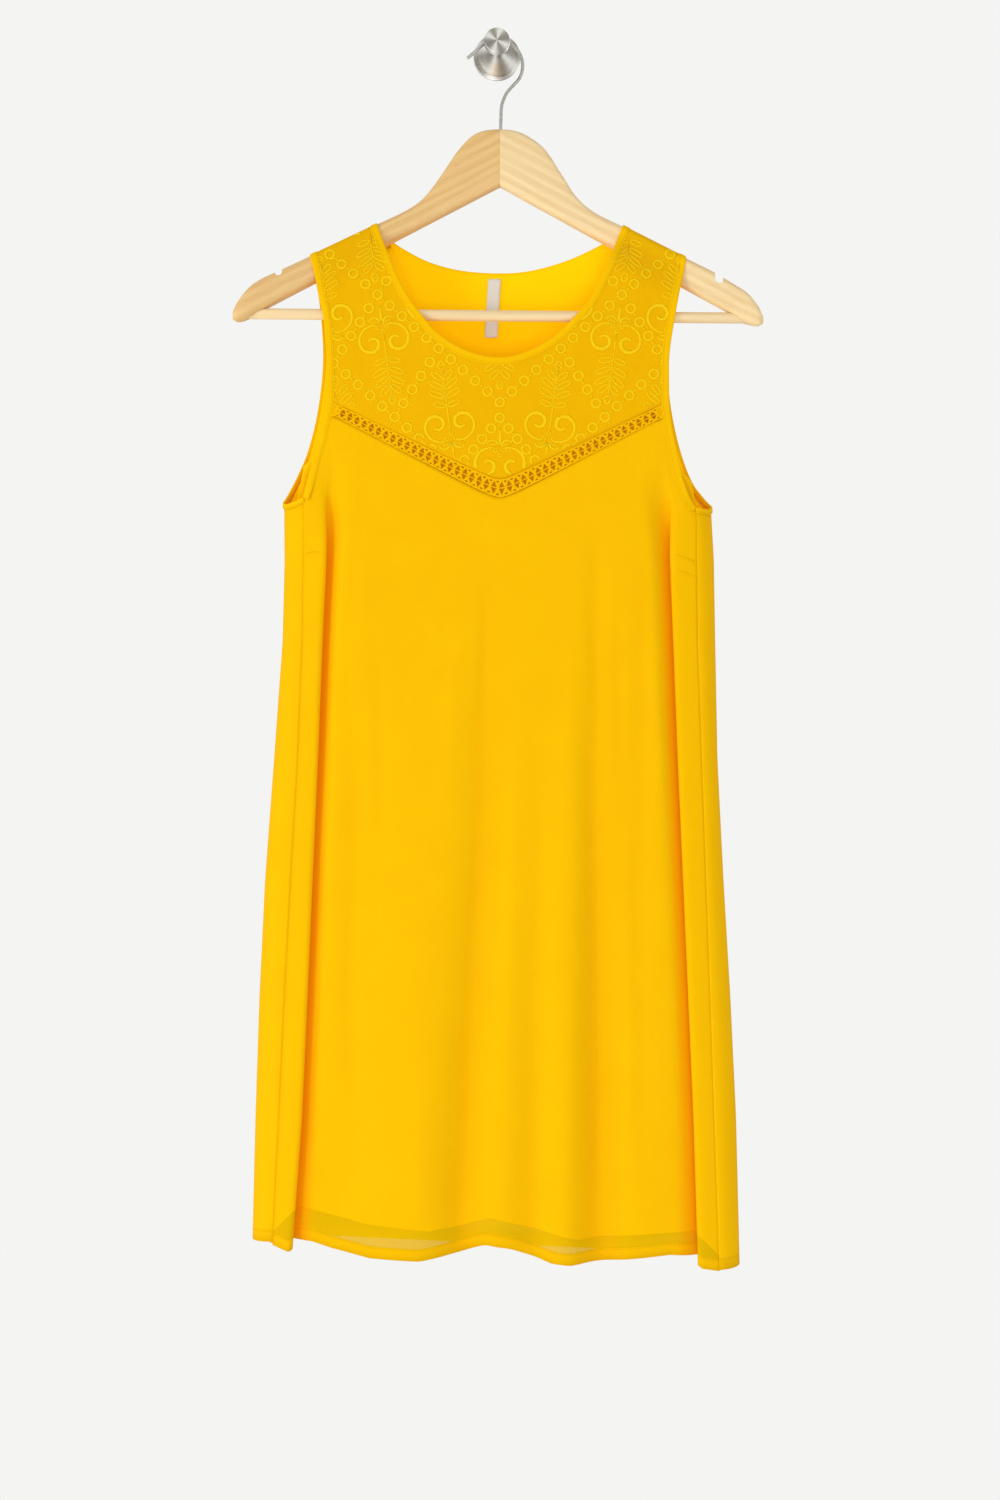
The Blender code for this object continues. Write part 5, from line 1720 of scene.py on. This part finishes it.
def turned(name, profile, smoothWay):
    if smoothWay:
        count = wallHook["between"] * (len(profile) - 1) + 1
        profile = [atIndex(profile, k / wallHook["between"], (0, 12, 13)) for k in range(count)]
    mesh = bmesh.new()
    ring = [mesh.verts.new((radius * mm, -out * mm, 0.0)) for out, radius in profile]
    for a, b in zip(ring, ring[1:]):
        mesh.edges.new((a, b))
    bmesh.ops.spin(mesh, geom=mesh.verts[:] + mesh.edges[:], cent=(0, 0, 0), axis=(0, 1, 0),
                   steps=wallHook["sides"], angle=2 * math.pi, use_duplicate=False)
    bmesh.ops.remove_doubles(mesh, verts=mesh.verts, dist=0.00001)
    bmesh.ops.holes_fill(mesh, edges=[e for e in mesh.edges if e.is_boundary], sides=0)
    bmesh.ops.recalc_face_normals(mesh, faces=mesh.faces)
    made = wallFrom(name, mesh, 0.0, looks["brushed"])
    smoothAngle(made, 40.0)
    return made


finish(turned("round_plate", wallHook["plate"], False), ["wall_hook_plate"])
finish(turned("turned_knob", wallHook["knob"], True), ["wall_hook_knob"])
print("wall hook made")
# Room, light and camera

room = {
    "floorZ": -1.9,
    "floorSize": 3.2,
    "floorY": -0.6,
    "pale": rgb(242, 242, 240),
    "cameraY": -1.81,
    "cameraX": 0.0026,
    "cameraZ": -0.6012,
    "lens": 50.0,
    "behind": 1.02,  # strength of what the camera sees behind the dress
    "glow": 0.78,
}

bpy.ops.object.select_all(action="DESELECT")
bpy.ops.mesh.primitive_plane_add(size=room["floorSize"],
                                 location=(0, room["floorY"], room["floorZ"]))
floor = bpy.context.active_object
floor.name = "floor"
floorLook, floorShader, floorStart = newLook("pale_floor", Roughness=0.9)
grain = floorStart.make("ShaderNodeTexCoord", None, None, "Object").noise(3.0, 2.0)
feed(floorLook, floorShader, Base_Color=grain.blend(rgb(238, 237, 235), rgb(242, 241, 239)))
floor.data.materials.append(floorLook)

world = bpy.data.worlds.new("pale studio")
bpy.context.scene.world = world
world.use_nodes = True
sky = Val(world.node_tree)
seen = sky.make("ShaderNodeLightPath", None, None, "Is Camera Ray")
wall = sky.make("ShaderNodeBackground", None, {"Color": room["pale"], "Strength": room["behind"]})
glow = sky.make("ShaderNodeBackground", None, {"Color": room["pale"], "Strength": room["glow"]})
both = sky.make("ShaderNodeMixShader", None, {0: seen, 1: glow, 2: wall})
world.node_tree.links.new(both.socket, world.node_tree.nodes["World Output"].inputs["Surface"])


def softLight(name, place, aim, size, power):
    lamp = bpy.data.lights.new(name, "AREA")
    lamp.shape = "RECTANGLE"
    lamp.size, lamp.size_y = size
    lamp.energy = power
    made = bpy.data.objects.new(name, lamp)
    made.location = place
    made.rotation_euler = (Vector(aim) - Vector(place)).to_track_quat("-Z", "Y").to_euler()
    bpy.context.scene.collection.objects.link(made)


softLight("window left", (-2.6, -1.7, -0.8), (0.0, 0.0, -0.85), (0.9, 2.0), 32.5)
softLight("front fill", (0.5, -3.4, -1.0), (0.0, 0.0, -0.9), (1.6, 2.0), 10.5)
softLight("low fill", (0.2, -3.0, -1.3), (0.0, 0.0, -1.0), (1.6, 0.6), 9.0)
softLight("back fill", (0.8, 3.0, 0.8), (0.0, 0.0, -0.5), (2.0, 2.0), 18.0)

lens = bpy.data.cameras.new("camera")
lens.lens = room["lens"]
lens.sensor_width = 36.0
lens.clip_start = 0.01
camera = bpy.data.objects.new("camera", lens)
camera.location = (room["cameraX"], room["cameraY"], room["cameraZ"])
camera.rotation_euler = (math.pi / 2, 0.0, 0.0)
bpy.context.scene.collection.objects.link(camera)
bpy.context.scene.camera = camera
bpy.context.scene.view_settings.view_transform = "Standard"
